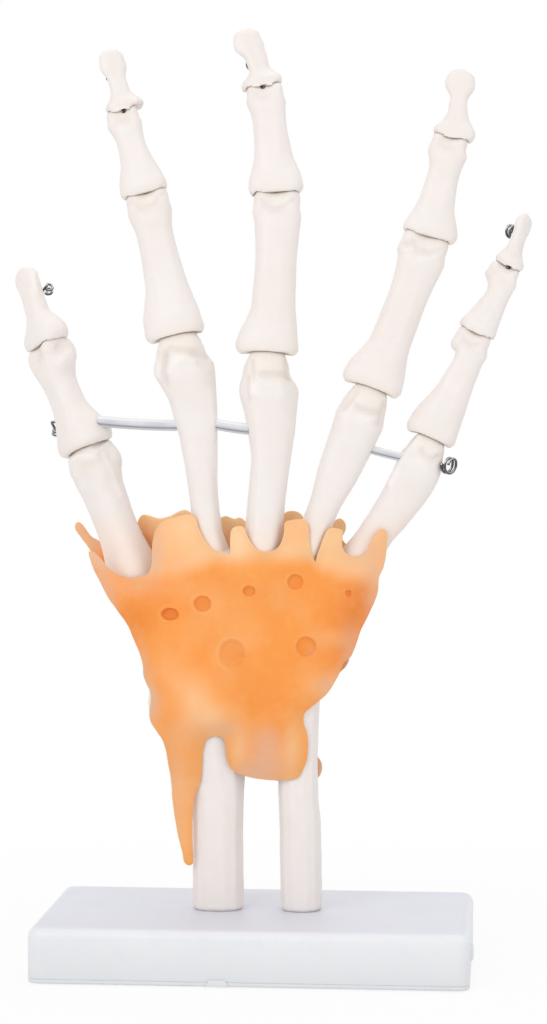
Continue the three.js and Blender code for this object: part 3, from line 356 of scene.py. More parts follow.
def around(co, edges, count):
    """The mean of each point's neighbours."""
    total = np.empty_like(co)
    ends = np.concatenate([edges[:, 0], edges[:, 1]])
    others = np.concatenate([edges[:, 1], edges[:, 0]])
    for k in range(co.shape[1]):
        total[:, k] = np.bincount(ends, co[others, k], minlength=len(co))
    return total / count[:, None]


def relax(obj, passes):
    """Smooths a mesh without shrinking it: each pass draws the points in and pushes them out again."""
    co, _ = arrays(obj)
    edges = edges_of(obj)
    count = np.bincount(edges.ravel(), minlength=len(co)).astype(float)
    count[count == 0] = 1
    for _ in range(passes):
        for share in (.5, -.53):
            co += share * (around(co, edges, count) - co)
    set_points(obj, co)
    return co


def normals_of(obj):
    n = np.zeros(len(obj.data.vertices) * 3)
    obj.data.vertices.foreach_get("normal", n)
    return n.reshape(-1, 3)


def grain(co, size, octaves=2, seed=0):
    """Smooth noise from -1 to 1 at each point, with lumps of about the given size."""
    shift = Vector((17.3 * seed, 5.1 * seed, 9.7 * seed))
    return np.array([noise.fractal(Vector(p) / size + shift, 1.0, 2.0, octaves) for p in co])


def blob(co, centre, reach):
    """A soft spot that is 1 at centre and fades over reach, a number or one for each axis."""
    d = (co - np.asarray(centre)) / np.asarray(reach)
    return np.exp(-(d ** 2).sum(1))


def attribute(obj, name, values):
    layer = obj.data.attributes.new(name, "FLOAT", "POINT")
    layer.data.foreach_set("value", np.clip(values, 0, 1).astype(np.float32))


def dress(obj, name, look, nodes=(), sharp=None):
    """Turns a mesh in millimetres into a finished piece in metres."""
    obj.name = name
    obj.data.name = name
    obj.data.transform(Matrix.Scale(MM, 4))
    obj.data.materials.clear()
    obj.data.materials.append(look)
    if sharp is None:
        obj.data.shade_smooth()
    else:
        obj.data.set_sharp_from_angle(angle=math.radians(sharp))
    if nodes:
        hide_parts(*nodes)
    return obj


def eased(t):
    t = np.clip(t, 0, 1)
    return t * t * (3 - 2 * t)


def curve_through(keys, places):
    """Monotone cubic curves through rows of [place, value, ...]."""
    keys = np.array(keys, float)
    x, y = keys[:, 0], keys[:, 1:]
    h = np.diff(x)[:, None]
    d = np.diff(y, axis=0) / h
    slope = np.zeros_like(y)
    rising = d[:-1] * d[1:] > 0
    w1, w2 = 2 * h[1:] + h[:-1], h[1:] + 2 * h[:-1]
    safe = lambda v: np.where(np.abs(v) < 1e-12, 1e-12, v)
    slope[1:-1] = np.where(rising, (w1 + w2) / (w1 / safe(d[:-1]) + w2 / safe(d[1:])), 0)
    slope[0], slope[-1] = d[0], d[-1]
    places = np.asarray(places, float)
    i = np.clip(np.searchsorted(x, places) - 1, 0, len(x) - 2)
    t = ((places - x[i]) / (x[i + 1] - x[i]))[:, None]
    return ((2 * t ** 3 - 3 * t ** 2 + 1) * y[i] + (t ** 3 - 2 * t ** 2 + t) * h[i] * slope[i]
            + (3 * t ** 2 - 2 * t ** 3) * y[i + 1] + (t ** 3 - t ** 2) * h[i] * slope[i + 1])


# Materials.
def rgb(*levels):
    """A colour as it is written on screen, from 0 to 255, for a shader."""
    linear = [v / 255 / 12.92 if v <= 10 else ((v / 255 + .055) / 1.055) ** 2.4 for v in levels]
    return (*linear, 1)


def put(tree, socket, value):
    """Gives a socket a value, or a link from another socket."""
    if isinstance(value, bpy.types.NodeSocket):
        tree.links.new(value, socket)
    else:
        socket.default_value = value


def add_node(tree, kind, inputs=(), **settings):
    node = tree.nodes.new(kind)
    for key, value in settings.items():
        setattr(node, key, value)
    for key, value in dict(inputs).items():
        put(tree, node.inputs[key], value)
    return node


class Look:
    """A node material with a few short ways to add nodes."""

    def __init__(self, name):
        self.material = bpy.data.materials.new(name)
        self.material.use_nodes = True
        self.tree = self.material.node_tree
        self.shader = self.tree.nodes["Principled BSDF"]
        self.place = self.add("ShaderNodeTexCoord").outputs["Object"]

    def add(self, kind, inputs=(), **settings):
        return add_node(self.tree, kind, inputs, **settings)

    def span(self, value, low, high, out_low=0., out_high=1.):
        return self.add("ShaderNodeMapRange", {"Value": value, "From Min": low, "From Max": high,
                                               "To Min": out_low, "To Max": out_high}).outputs[0]

    def noise(self, scale, detail):
        return self.add("ShaderNodeTexNoise",
                        {"Vector": self.place, "Scale": scale, "Detail": detail}).outputs[0]

    def cloud(self, scale, detail, low, high, *out):
        """Noise whose levels from low to high are spread from 0 to 1, or between two other values."""
        return self.span(self.noise(scale, detail), low, high, *out)

    def mix(self, factor, a, b):
        return self.add("ShaderNodeMix", {0: factor, 6: a, 7: b}, data_type="RGBA").outputs[2]

    def painted(self, tone, **colours):
        """A tone with colours over it, each as far as the mesh's values of that name say."""
        for name, colour in colours.items():
            share = self.add("ShaderNodeAttribute", attribute_name=name).outputs["Fac"]
            tone = self.mix(share, tone, rgb(*colour))
        return tone

    def facing_up(self, stops):
        """A value by how far the skin faces up, from 0 below to 1 above, through [place, value] stops."""
        split = self.add("ShaderNodeSeparateXYZ", {0: self.add("ShaderNodeTexCoord").outputs["Normal"]})
        ramp = self.add("ShaderNodeValToRGB", {0: self.span(split.outputs[2], -1., 1.)})
        points = ramp.color_ramp.elements
        while len(points) < len(stops):
            points.new(.5)
        for point, (place, value) in zip(points, stops):
            point.position = place
            point.color = (value, value, value, 1)
        return ramp.outputs[0]

    def texture(self, *layers):
        """Bumps of (noise scale, detail, distance, strength), each on the one before."""
        normal = None
        for scale, detail, distance, strength in layers:
            inputs = {"Height": self.noise(scale, detail), "Distance": distance, "Strength": strength}
            if normal is not None:
                inputs["Normal"] = normal
            normal = self.add("ShaderNodeBump", inputs).outputs[0]
        return normal

    def finish(self, **sockets):
        for key, value in sockets.items():
            put(self.tree, self.shader.inputs[key.replace("_", " ")], value)
        return self.material


def bone_look():
    """Warm ivory plastic, creamier on the joint faces, with faint moulded unevenness."""
    look = Look("bone_plastic")
    tone = look.mix(look.cloud(38, 3, .35, .65), rgb(241, 233, 228), rgb(243, 236, 233))
    tone = look.mix(look.cloud(140, 4, .42, .72, 0., .35), tone, rgb(236, 228, 218))
    # Over the plastic's own tones: painted highlights on ridges, painted shade in hollows and joint gaps, and
    # painted warm light from the rubber.
    tone = look.painted(tone, cream=(246, 237, 220), blush=(250, 222, 203), crest=(250, 246, 243),
                        wash=(204, 190, 178), stain=(150, 118, 92))
    return look.finish(Base_Color=tone, Roughness=look.cloud(90, 3, .3, .7, .42, .56),
                       Normal=look.texture((260, 3, .00012, .5), (1500, 2, .00002, .5)),
                       Subsurface_Weight=.12, Subsurface_Scale=.0025, Subsurface_Radius=(1, .6, .45),
                       Specular_IOR_Level=.4)


def sheet_look():
    """Soft orange rubber, paler where it is stretched thin over bone and along its edges."""
    look = Look("ligament_rubber")
    tone = look.mix(look.cloud(45, 3, .35, .65), rgb(254, 156, 66), rgb(254, 163, 79))
    # Pale also carries painted light, on the palm sheet's shaded top and the hollows' rims; deep carries the
    # hollows' painted shadow arcs.
    tone = look.painted(tone, deep=(236, 136, 48), pale=(255, 208, 160), dusk=(222, 184, 160))
    tone = look.mix(look.cloud(420, 4, .5, .8, 0., .18), tone, rgb(255, 190, 128))
    return look.finish(Base_Color=tone, Roughness=look.cloud(120, 3, .3, .7, .38, .52),
                       Normal=look.texture((180, 3, .0002, .5), (1200, 3, .00003, .6)),
                       Subsurface_Weight=.25, Subsurface_Scale=.003, Subsurface_Radius=(1, .45, .2),
                       Specular_IOR_Level=.35)


def base_look():
    """Cool white moulded plastic with a faint cloudy tone, painted shade low down and on top, and a fine
    texture.
    """
    look = Look("base_plastic")
    tone = look.mix(look.cloud(22, 4, .35, .65), rgb(232, 234, 238), rgb(235, 237, 240))
    # Painted shade: darker towards the bottom, and a darker, bluer tone on the faces that look up.
    height = look.add("ShaderNodeSeparateXYZ", {0: look.place}).outputs[2]
    tone = look.mix(look.span(height, .014, 0., 0., .95), tone, rgb(225, 226, 229))
    tone = look.mix(look.facing_up([(0, 0), (.86, 0), (1, .85)]), tone, rgb(221, 223, 234))
    tone = look.mix(look.cloud(300, 3, .5, .8, 0., .3), tone, rgb(224, 226, 233))
    return look.finish(Base_Color=tone, Roughness=look.cloud(75, 3, .3, .7, .34, .46),
                       Normal=look.texture((60, 3, .0003, .35), (2200, 2, .00002, .4)),
                       Subsurface_Weight=.1, Subsurface_Scale=.003, Specular_IOR_Level=.45)


def metal_look(name, low, high, grain_scale, banded=False):
    """Drawn steel with dark and bright flecks and fine draw marks; the wire also gets painted reflection
    bands.
    """
    look = Look(name)
    tone = look.mix(look.cloud(grain_scale, 4, .35, .65), low, high)
    if banded:
        # Painted reflections: light and dark bands by which way the skin faces up.
        bands = look.facing_up([(0, .25), (.45, 0), (.6, .1), (.74, 1), (.86, .15), (1, .6)])
        tone = look.mix(bands, tone, rgb(236, 237, 240))
    return look.finish(Base_Color=tone, Metallic=1., Normal=look.texture((4 * grain_scale, 3, .00003, .5)),
                       Roughness=look.cloud(grain_scale / 2, 2, .3, .7, .2, .36))


def tube_look():
    """Milky clear tubing, with a painted highlight line above and painted shade in a dark line below."""
    look = Look("clear_tube")
    tone = look.mix(look.cloud(120, 2, .35, .65), rgb(222, 223, 231), rgb(236, 237, 243))
    # Painted highlight along the upper side and painted shade on the lower side, darkest in a line, by which
    # way the skin faces.
    bright = look.facing_up([(0, .2), (.3, .15), (.5, 0), (.72, 0), (.8, 1), (1, .8)])
    tone = look.mix(bright, tone, rgb(255, 255, 255))
    shade = look.facing_up([(0, .15), (.16, .2), (.24, .95), (.31, .9), (.38, .25), (.6, 0)])
    tone = look.mix(shade, tone, rgb(150, 151, 160))
    return look.finish(Base_Color=tone, Roughness=look.cloud(100, 2, .3, .7, .1, .2),
                       Normal=look.texture((150, 2, .00004, .3)), Transmission_Weight=.15, IOR=1.4,
                       Specular_IOR_Level=.5)


LOOKS = {
    "bone": bone_look(), "sheet": sheet_look(), "base": base_look(), "tube": tube_look(),
    "wire": metal_look("wire", rgb(58, 58, 62), rgb(96, 97, 102), 900, banded=True),
    "screw": metal_look("screw_steel", rgb(168, 170, 174), rgb(204, 206, 210), 500),
}


# Bones. A metacarpal's knuckle is a ball of rounded squareness BALL, and a phalanx's a roller with this
# profile across it. The end of a tip bone closes through places and shares of its last station.
BONE_SIDES = 56
KNUCKLE_SIDES = 44
VOXEL = .45
BALL = 2.3
ROLLER = [[0, .88], [.3, .94], [.58, 1], [.84, .9], [1, .52]]
TIP_CLOSING = [(.9, .86), (.96, .6), (.99, .34), (1, .14)]


def bone_frame(start, end, twist):
    """+Z along the bone, +X to the right seen from the back, +Y towards the palm."""
    along = unit(end - start)
    right = unit(np.array([1., 0, 0]) - along[0] * along)
    turn = np.array(Matrix.Rotation(math.radians(twist), 3, Vector(along)))
    right = turn @ right
    made = np.eye(4)
    made[:3, 0], made[:3, 1], made[:3, 2], made[:3, 3] = right, np.cross(along, right), along, start
    return made


def at(matrix, local):
    local = np.atleast_2d(np.asarray(local, float))
    out = local @ matrix[:3, :3].T + matrix[:3, 3]
    return out[0] if len(out) == 1 else out


def inside(matrix, world):
    return (np.atleast_2d(world) - matrix[:3, 3]) @ matrix[:3, :3]


def lay_out(digit):
    """Hinges, frames and lengths of a digit's bones."""
    points = [over_wrist(g) for g in digit["gaps"]]
    ways = [unit(b - a) for a, b in zip(points, points[1:])]
    reach = [b["knuckle"][2] * SOCKET_REACH if "knuckle" in b else 0 for b in digit["bones"]]
    hinges = [point - way * back for point, way, back in zip(points[1:], ways, reach)]
    starts = [points[0], *hinges[:-1]]
    frames = [bone_frame(a, b, digit["twist"]) for a, b in zip(starts, hinges)]
    spans = [np.linalg.norm(b - a) for a, b in zip(starts, hinges)]
    return {"ways": ways, "reach": reach, "hinges": hinges, "frames": frames, "spans": spans}


def loft(name, matrix, rings):
    """A closed solid over rings in a bone's frame."""
    rings = np.array(rings)
    return skin(name, at(matrix, rings.reshape(-1, 3)).reshape(rings.shape))


def knuckle(bone, matrix, span, grow=0.):
    """A ball on a metacarpal, a grooved roller on a phalanx, about the hinge at the bone's end."""
    left, right, radius = bone["knuckle"]
    share = np.sin(np.linspace(-1, 1, 29) * math.pi / 2) * .985
    if bone["name"] == "metacarpal":
        profile = (1 - np.abs(share) ** BALL) ** (1 / BALL)
    else:
        profile = curve_through(ROLLER, np.abs(share))[:, 0]
    c, s = circle(KNUCKLE_SIDES, .5)
    rings = []
    for u, r in zip(share, profile):
        x = u * (left if u < 0 else right) + np.sign(u) * grow
        rim = radius * r + grow
        rings.append(np.stack([np.full(KNUCKLE_SIDES, x), rim * c, span + rim * s], 1))
    return loft("knuckle", matrix, rings)


def shaft(bone, matrix, start, end, top, arch, socket=0.):
    """The loft of a long bone, from its socket end to its far end. Its back covers a socket's radius."""
    foot, head = bone["stations"][0], bone["stations"][-1]
    scaled = lambda place, station, share: [place] + [v * share for v in station[1:]]
    keys = [scaled(0, foot, .88), scaled(foot[0] * .4, foot, .97), *bone["stations"]]
    if "knuckle" in bone:
        left, right, radius = bone["knuckle"]
        keys.append([(top - start) / (end - start), left, right, 1.94 * radius])
    else:
        keys += [scaled(place, head, share) for place, share in TIP_CLOSING]
    places = np.linspace(0, keys[-1][0], 60)
    c, s = circle(BONE_SIDES, .5)
    bend = -.06 * foot[3] if "knuckle" in bone else 0
    rings = []
    for place, (left, right, depth) in zip(places, curve_through(keys, places)):
        along = start + place * (end - start)
        sunk = bone.get("drop", 0) * max(0, 1 - place / 4 / foot[0])
        x = np.where(c < 0, left, right) * np.sign(c) * np.abs(c) ** .82 * .975
        # The back is squarer over a socket, and at least a wall thicker than it.
        square = .42 * eased(1 - place / 2.4 / foot[0]) if socket else 0
        y = np.sign(s) * np.abs(s) ** np.where(s < 0, .9 - square, .66) * depth / 2
        low = max(0, 1 - place / foot[0])
        lift = low * (arch * np.minimum(1, (2 * y / depth) ** 2) + bone.get("shear", 0) * x) - sunk
        wall = math.sqrt(max(0, socket ** 2 - (along - sunk) ** 2)) + RIM_WALL if socket else 0
        y = np.where(s < 0, y * max(1, 2 * wall / depth), y)
        y = y + bend * math.sin(math.pi * place)
        spin = math.radians(bone.get("spin", 0)) * min(1, place / .35)
        aside = bone.get("lean", 0) * place ** 2
        rings.append(np.stack([x * math.cos(spin) - y * math.sin(spin) + aside,
                               x * math.sin(spin) + y * math.cos(spin), along + lift], 1))
    return loft("shaft", matrix, rings)


# What the backs of the knuckles show: strokes of [height, half width, points], where a point is X from
# the bone's middle and its place along the bone from the hinge. Hollows have a height below nothing.
STROKES = {
    "thumb_metacarpal": [
        [.4, .9, [[-7.4, 3.4], [-2, 3.1], [1.1, 1.6], [3.4, 3.3], [6.4, 4.6]]],
        [-.5, 1.4, [[-3.4, .2], [1, -1.3], [3, -.6]]],
        [.3, .8, [[4.4, 1.5], [4.8, -3.4], [4.3, -7], [4.6, -12]]],
        [.25, 1.3, [[-6.6, 0], [-6, -5]]],
    ],
    "index_metacarpal": [
        [-.65, .85, [[-3, 2.3], [.6, 1.1], [3.2, .2], [5.8, -1.2], [7.4, -2.4]]],
        [.5, 1.3, [[-4, -4.4], [-1.6, -2.4], [.9, -1.5], [3.6, -2.6]]],
        [-.9, .8, [[-4.4, .6], [-5.3, -2], [-5.8, -4.6], [-5.7, -7.6]]],
        [-.35, 1.6, [[4, -1], [6.6, -4]]],
        [.4, 1.1, [[-7.4, -2], [-7.3, -5]]],
        [.2, .8, [[7, -12], [5.4, -26], [4.6, -40]]],
    ],
    "middle_metacarpal": [
        [-.5, .65, [[-4.4, 3.4], [-3.9, .6], [-3.5, -1.6]]],
        [-.65, .9, [[-.8, -.7], [2, -.5], [4.6, -.5], [6.6, -1]]],
        [.55, 1.4, [[-3.4, -4.6], [-3.2, -6]]],
        [.4, .8, [[-2.6, -1.6], [-.6, -2.8], [1.5, -4]]],
        [-.8, .7, [[5.9, 3.6], [6.6, .8], [7, -1.2]]],
        [-.5, .65, [[-5.2, -1.8], [-5.5, -5], [-4.9, -8]]],
        [.3, 1.4, [[4.4, -3.4], [5.4, -6]]],
        [.18, .8, [[-2.4, -12], [-1, -28], [-1.6, -46]]],
    ],
    "ring_metacarpal": [
        [-.65, .8, [[-2.2, -1], [-.6, -1.6], [1.8, -1.4], [4.4, -.8]]],
        [.45, .9, [[-4.8, -5.4], [-3.6, -2.8], [-2.2, -.2]]],
        [.5, 1.2, [[1, -3.6], [3, -3.4]]],
        [-.5, .65, [[-3.8, 2.8], [-4.5, .2], [-5.3, -3]]],
        [-.7, .7, [[5.4, 2.4], [5.8, -.4], [5.9, -3.6]]],
    ],
    "little_metacarpal": [
        [-.55, .8, [[-.4, .2], [.6, -.7], [3.4, -.6], [4.6, .9]]],
        [.5, .8, [[-3.4, 3.2], [-4.1, -3.6], [-4.4, -8], [-4, -13]]],
        [-.7, 1.5, [[-5.2, 2.6], [-5.8, -.6], [-6.2, -4]]],
        [.3, 1.2, [[.6, -3], [2.8, -3.2]]],
    ],
    "thumb_proximal_phalanx": [[-.4, 1.2, [[-3.6, 1.6], [0, -.4], [3.6, 1.4]]], [.3, 1.2, [[3.6, -3],
                                                                                           [4.6, -.6]]]],
    "index_proximal_phalanx": [[-.45, 1, [[-4.4, 1.4], [-1.4, -.9], [2, -.8], [4.8, 1.6]]]],
    "middle_proximal_phalanx": [[-.5, .9, [[-3.7, 1.2], [-.6, -1.5], [2, -1.6], [5.8, 1.4]]]],
    "ring_proximal_phalanx": [
        [-.5, .8, [[-5, -1.2], [-2.6, .3], [-.2, -1.8], [2.4, -1.2], [5, .4]]],
        [.35, .8, [[-4.4, -3], [-2.4, -1.6]]], [.35, .9, [[1, -3.4], [4, -2.4]]],
    ],
    "little_proximal_phalanx": [[-.4, .8, [[-3.6, .8], [0, -1.2], [3.4, .6]]]],
    "index_middle_phalanx": [[-.3, .9, [[-3.2, .6], [0, -1.2], [2.6, .4]]]],
    "middle_middle_phalanx": [[-.3, .9, [[-3.2, .8], [0, -1.2], [3.4, .6]]]],
    "ring_middle_phalanx": [[-.3, .9, [[-3, .6], [0, -1.2], [3.2, .4]]]],
    "thumb_distal_phalanx": [[.4, .9, [[3.4, -1], [2.6, -6], [2.2, -9]]], [-.25, 1.2, [[.4, -2], [0, -7]]]],
}


def off_line(x, z, points):
    """How far each place is from a line of points."""
    best = np.full(len(x), 1e9)
    points = np.array(points, float)
    for a, b in zip(points, points[1:]):
        run = b - a
        t = np.clip(((x - a[0]) * run[0] + (z - a[1]) * run[1]) / (run @ run), 0, 1)
        best = np.minimum(best, np.hypot(x - a[0] - t * run[0], z - a[1] - t * run[1]))
    return best


def strokes(name, digit, p, span, widen=1.):
    """The strokes' heights at points in a bone's frame, on the side that faces the viewer."""
    turn = math.radians(digit["twist"])
    x = p[:, 0] * math.cos(turn) - p[:, 1] * math.sin(turn)
    y = p[:, 0] * math.sin(turn) + p[:, 1] * math.cos(turn)
    back = falling(y * 1.6)
    out = np.zeros(len(p))
    for height, wide, points in STROKES.get(name, ()):
        out += 1.3 * height * back * bell(off_line(x, p[:, 2] - span, points) / wide, widen)
    return out


def carve(bone, p, start, span):
    """How far each point of a long bone moves along its normal, from its place in the bone."""
    foot = bone["stations"][0]
    x, y, z = p.T
    out = np.zeros(len(p))
    back = falling(y * 1.5)
    if "knuckle" in bone:
        left, right, r = bone["knuckle"]
        sides = ((-1, left), (1, right))
        for side, wide in sides:
            out += .5 * blob(p, [side * wide * .98, -.45 * r, span - .6 * r], [.5 * r, .5 * r, .42 * r])
            out -= .8 * blob(p, [side * wide, .12 * r, span - .02 * r], [.35 * r, .42 * r, .42 * r])
        if bone["name"] == "metacarpal":
            # A faint hollow across the back behind the joint face.
            wide = np.where(x < 0, left, right)
            edge = span - .2 * r - .22 * r * (x / wide) ** 2
            across = back * bell(x, .72 * wide, 4)
            out -= .15 * bell(z - edge + .3 * r, .2 * r) * across
            out += .15 * bell(z - edge + .66 * r, .25 * r) * across
        else:
            out -= .3 * blob(p, [0, -r, span - .12 * r], [.42 * left, r, .5 * r])
            out += .3 * blob(p, [0, -r, span - 1.15 * r], [.7 * left, r, .35 * r])
            for side, wide in sides:
                out += .3 * blob(p, [side * wide * .62, -.8 * r, span + .1 * r], [.32 * wide, .6 * r, .5 * r])
    if bone["name"] != "metacarpal":
        wide = max(foot[1], foot[2])
        length = span - start
        mid = start + .5 * length
        out += .3 * bell(z - start - 1.8, 1.6) * back
        out -= .3 * bell(z - start - .17 * length - 1.2, 1.5) * back * bell(x, .7 * wide, 4)
        for side, corner in ((-1, foot[1]), (1, foot[2])):
            out += .4 * blob(p, [side * corner * .9, 1, start + 1.6], [2.4, 3, 1.8])
        # The palm side is hollowed along its length; soft crests run along the back.
        out -= .4 * bell(x, .4 * wide) * (1 - back) * bell(z - mid, .28 * length)
        for line in (-.28 * wide, .34 * wide):
            out += .2 * bell(x - line, .9) * back * bell(z - mid, .32 * length, 4)
    if bone["name"] == "distal_phalanx":
        out += .3 * grain(p, 1.6, 2, 3) * np.clip((z - span * .66) / 3, 0, 1) * (1 - .75 * back)
    return out


def flatten(p, point, way, soft=.25):
    """Points beyond a plane are brought back to it, with a softened edge."""
    way = unit(way)
    d = (p - np.asarray(point)) @ way
    over = np.where(d > 6 * soft, d, soft * np.log1p(np.exp(np.clip(d / soft, -30, 30))))
    return p - np.outer(over, way)


def chisel(bone, p, start, span):
    """Flat facets on the corners of a knuckle, seen from the back and from the side."""
    if "knuckle" not in bone:
        return p
    left, right, r = bone["knuckle"]
    cut = p
    for side, wide in ((-1, left), (1, right)):
        if bone["name"] == "metacarpal":
            cut = flatten(cut, [side * wide * .7, 0, span + .62 * r], [side * .9, 0, .42])
            cut = flatten(cut, [side * wide * .74, -r * .8, span - .1 * r], [side * .8, -.62, .2])
            cut = flatten(cut, [side * wide * .84, -r * .7, span - .9 * r], [side * .72, -.7, 0])
        else:
            cut = flatten(cut, [side * wide * .86, -r * .82, span], [side * .78, -.62, .1])
    share = eased((p[:, 2] - span + 1.7 * r) / (.7 * r))[:, None]
    return p + share * (cut - p)


def sweep_rings(path, radius, sides):
    """Round rings along a line of points, each turned as little as possible from the last."""
    path = np.asarray(path, float)
    side = np.array([0., 1, 0])
    c, s = circle(sides)
    rings = []
    for i, p in enumerate(path):
        along = unit(path[min(i + 1, len(path) - 1)] - path[max(i - 1, 0)])
        if abs(side @ along) > .99:
            side = np.array([1., 0, 0])
        side = unit(side - (side @ along) * along)
        up = np.cross(along, side)
        size = radius[i] if np.ndim(radius) else radius
        rings.append(p + size * (c[:, None] * side + s[:, None] * up))
    return np.array(rings)


def sweep_mesh(name, path, radius, sides):
    return skin(name, sweep_rings(path, radius, sides))


def bore_through(path):
    return sweep_mesh("bore", path, WIRE["bore"], 12)


def smooth_path(points, step):
    """A polyline with its corners cut twice, sampled about every step."""
    points = np.asarray(points, float)
    for _ in range(2):
        a, b = points[:-1], points[1:]
        cut = np.stack([a * .75 + b * .25, a * .25 + b * .75], 1).reshape(-1, 3)
        points = np.vstack([points[:1], cut, points[-1:]])
    return spaced(points, step)


TURN_STEPS = 28


def turns(centre, axis, start, radius, count, pitch):
    """The middle line of a coil about an axis, whose first point lies towards start."""
    across = np.cross(axis, start)
    i = np.arange(round(count * TURN_STEPS) + 1)
    angle = TAU * i / TURN_STEPS
    return (np.asarray(centre) + radius * (np.cos(angle)[:, None] * start + np.sin(angle)[:, None] * across)
            + np.outer(pitch * (i / TURN_STEPS - count / 2), axis))


def paint_bone(obj, joints, stained, blush, marks):
    """Creamy joint faces, painted shade in joint gaps and hollows, and painted light on ridges and from the
    rubber.
    """
    co, _ = arrays(obj)
    cream = np.zeros(len(co))
    for centre, reach in joints:
        cream = np.maximum(cream, np.clip(1.5 - np.linalg.norm(co - centre, axis=1) / reach, 0, 1))
    cream *= .75 + .35 * grain(co, 9, 2, 5)
    # Painted shade in the gap where a socket's rim meets the knuckle below it.
    stain = np.zeros(len(co))
    for centre, axis, wide, reach in stained:
        d = co - centre
        along = d @ axis
        off = np.linalg.norm(d - np.outer(along, axis), axis=1)
        near = np.clip((reach * (1 - np.abs(along / wide) ** 2.3).clip(.01) ** .43 + .75 - off) / .4, 0, 1)
        stain = np.maximum(stain, near * (np.abs(along) < wide * .9))
    attribute(obj, "cream", cream * .6)
    attribute(obj, "stain", stain * .5)
    # Painted warm light, bounced from the orange rubber, over the shade low on the metacarpals.
    attribute(obj, "blush", blush * eased((WRIST + 40 - co[:, 2]) / 16))
    if marks is not None:
        # Painted shade in the marks' hollows and painted highlights on their ridges.
        attribute(obj, "wash", np.clip(-marks(co), 0, 1) * .2)
        attribute(obj, "crest", np.clip(marks(co), 0, 1) * .8)


def finish_bone(obj, name, body, passes, carved=None, chiselled=None, joints=(), stained=(), bores=(),
                lumps=.1, blush=0., marks=None, seed=1):
    """Smooths, shapes, bores and paints a bone, and returns its points."""
    remesh(obj, VOXEL)
    co = relax(obj, passes)
    if chiselled is not None:
        set_points(obj, chiselled(co))
        co = relax(obj, 1)
    out = lumps * grain(co, 7, 3, seed)
    if carved is not None:
        out += carved(co)
    co = co + normals_of(obj) * out[:, None]
    set_points(obj, co)
    relax(obj, 2)
    for bore in bores:
        combine(obj, bore, "DIFFERENCE")
    paint_bone(obj, joints, stained, blush, marks)
    final, tris = arrays(obj)
    finished[name] = final + .12 * normals_of(obj), tris
    dress(obj, name, LOOKS["bone"], [name])
    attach(obj, body)
    return final


def from_node(name):
    """A copy of a solid, in millimetres."""
    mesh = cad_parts[name].data.copy()
    mesh.materials.clear()
    mesh.transform(Matrix.Scale(1 / MM, 4))
    made = bpy.data.objects.new(name + "_copy", mesh)
    bpy.context.scene.collection.objects.link(made)
    return made


def weld(obj):
    """Joins the points that lie on each other, which a solid's hard edges split."""
    step = obj.modifiers.new("weld", "WELD")
    step.merge_threshold = .001
    return settle(obj)


# The points of each bone, over which the sheets are draped, and each bone grown a little, with its
# triangles, which makes room for the motion of the bone above.
clouds = {}
finished = {}
layouts = {name: lay_out(digit) for name, digit in DIGITS.items()}
# Where the wire shows in the last joint's gap: how far right of the bone's middle.
GLIMPSES = {"thumb": .8, "index": .3, "middle": .4, "little": .4}


def wire_route(name):
    """The middle line of a digit's wire up to its last bone, and the eye that it ends in."""
    digit, lay = DIGITS[name], layouts[name]
    last = len(digit["bones"]) - 1
    eye = digit["eye"]
    spin = math.radians(eye["turn"])
    local = lambda out, z: at(lay["frames"][last], [-out * math.sin(spin), out * math.cos(spin), z])
    length = lay["spans"][last]
    surface = digit["bones"][last]["stations"][1][3] / 2
    where = eye["leave"] if "leave" in eye else eye["at"] - .1
    leave = [glimpse(name, .92)[0] if name in GLIMPSES else local(0, length * .2),
             local(0, length * (where - .16)), local(surface * .5, length * (where - .08)),
             local(surface + SEAT_GAP, length * where)]
    beyond = local(surface + 4 * WIRE["bore"], length * (where + .12))
    anchor = lay["hinges"][0] - lay["ways"][0] * WIRE["anchor"]
    through = [anchor, *lay["hinges"][:last], *leave]
    if "centre" in eye:
        axis = unit(eye["axis"])
        begin = leave[-1] - np.array(eye["centre"])
        winding = turns(eye["centre"], axis, unit(begin - (begin @ axis) * axis), eye["radius"],
                        eye["turns"], eye["pitch"])
    else:
        stand = surface + SEAT_GAP + 2 * WIRE["radius"] + WIRE["pitch"] * WIRE["tip_turns"] / 2
        centre = local(stand, length * eye["at"] + eye["radius"])
        winding = turns(centre, local(1, 0) - local(0, 0), -lay["ways"][last], eye["radius"],
                        WIRE["tip_turns"], WIRE["pitch"])
    return through, winding, beyond


def glimpse(name, share):
    """A place on the back at the rim of a digit's last socket, this share of the knuckle's radius from
    the hinge, with the directions right, back and along there."""
    digit, lay = DIGITS[name], layouts[name]
    along = lay["ways"][-1]
    back = unit(np.array([0, -1., 0]) + along[1] * along)
    right = np.cross(along, back) * (1 if np.cross(along, back)[0] > 0 else -1)
    r = digit["bones"][-2]["knuckle"][2]
    z = SOCKET_REACH * r - digit["bones"][-1].get("drop", 0)
    out = math.sqrt((share * r) ** 2 - z ** 2)
    return lay["hinges"][-2] + z * along + out * back + GLIMPSES[name] * right, right, back, along


def notch(name):
    """A small hollow in the rim, where the wire can be seen."""
    centre, right, back, along = glimpse(name, 1.1)
    c, s = circle(16)
    rings = []
    for u in np.sin(np.linspace(-1, 1, 9) * math.pi / 2) * .97:
        size = math.sqrt(1 - u * u)
        rings.append(centre + 1.35 * u * right + size * (.9 * c[:, None] * back + .55 * s[:, None] * along))
    return skin("notch", rings)


def spreader_route(spec):
    """A spreader wire's stops, where it leaves its first bone, its way out there, and its coil."""
    points = [np.array(p, float) for p in spec["points"]]
    shore = np.array(spec["shore"], float)
    out = unit(points[0] - points[1])
    axis = unit(spec["coil_axis"])
    begin = unit(-out + (out @ axis) * axis)
    winding = turns(shore + spec["coil_offset"], axis, begin, spec["coil_radius"], WIRE["coil_turns"],
                    WIRE["pitch"])
    return points, shore, out, winding[::-1]


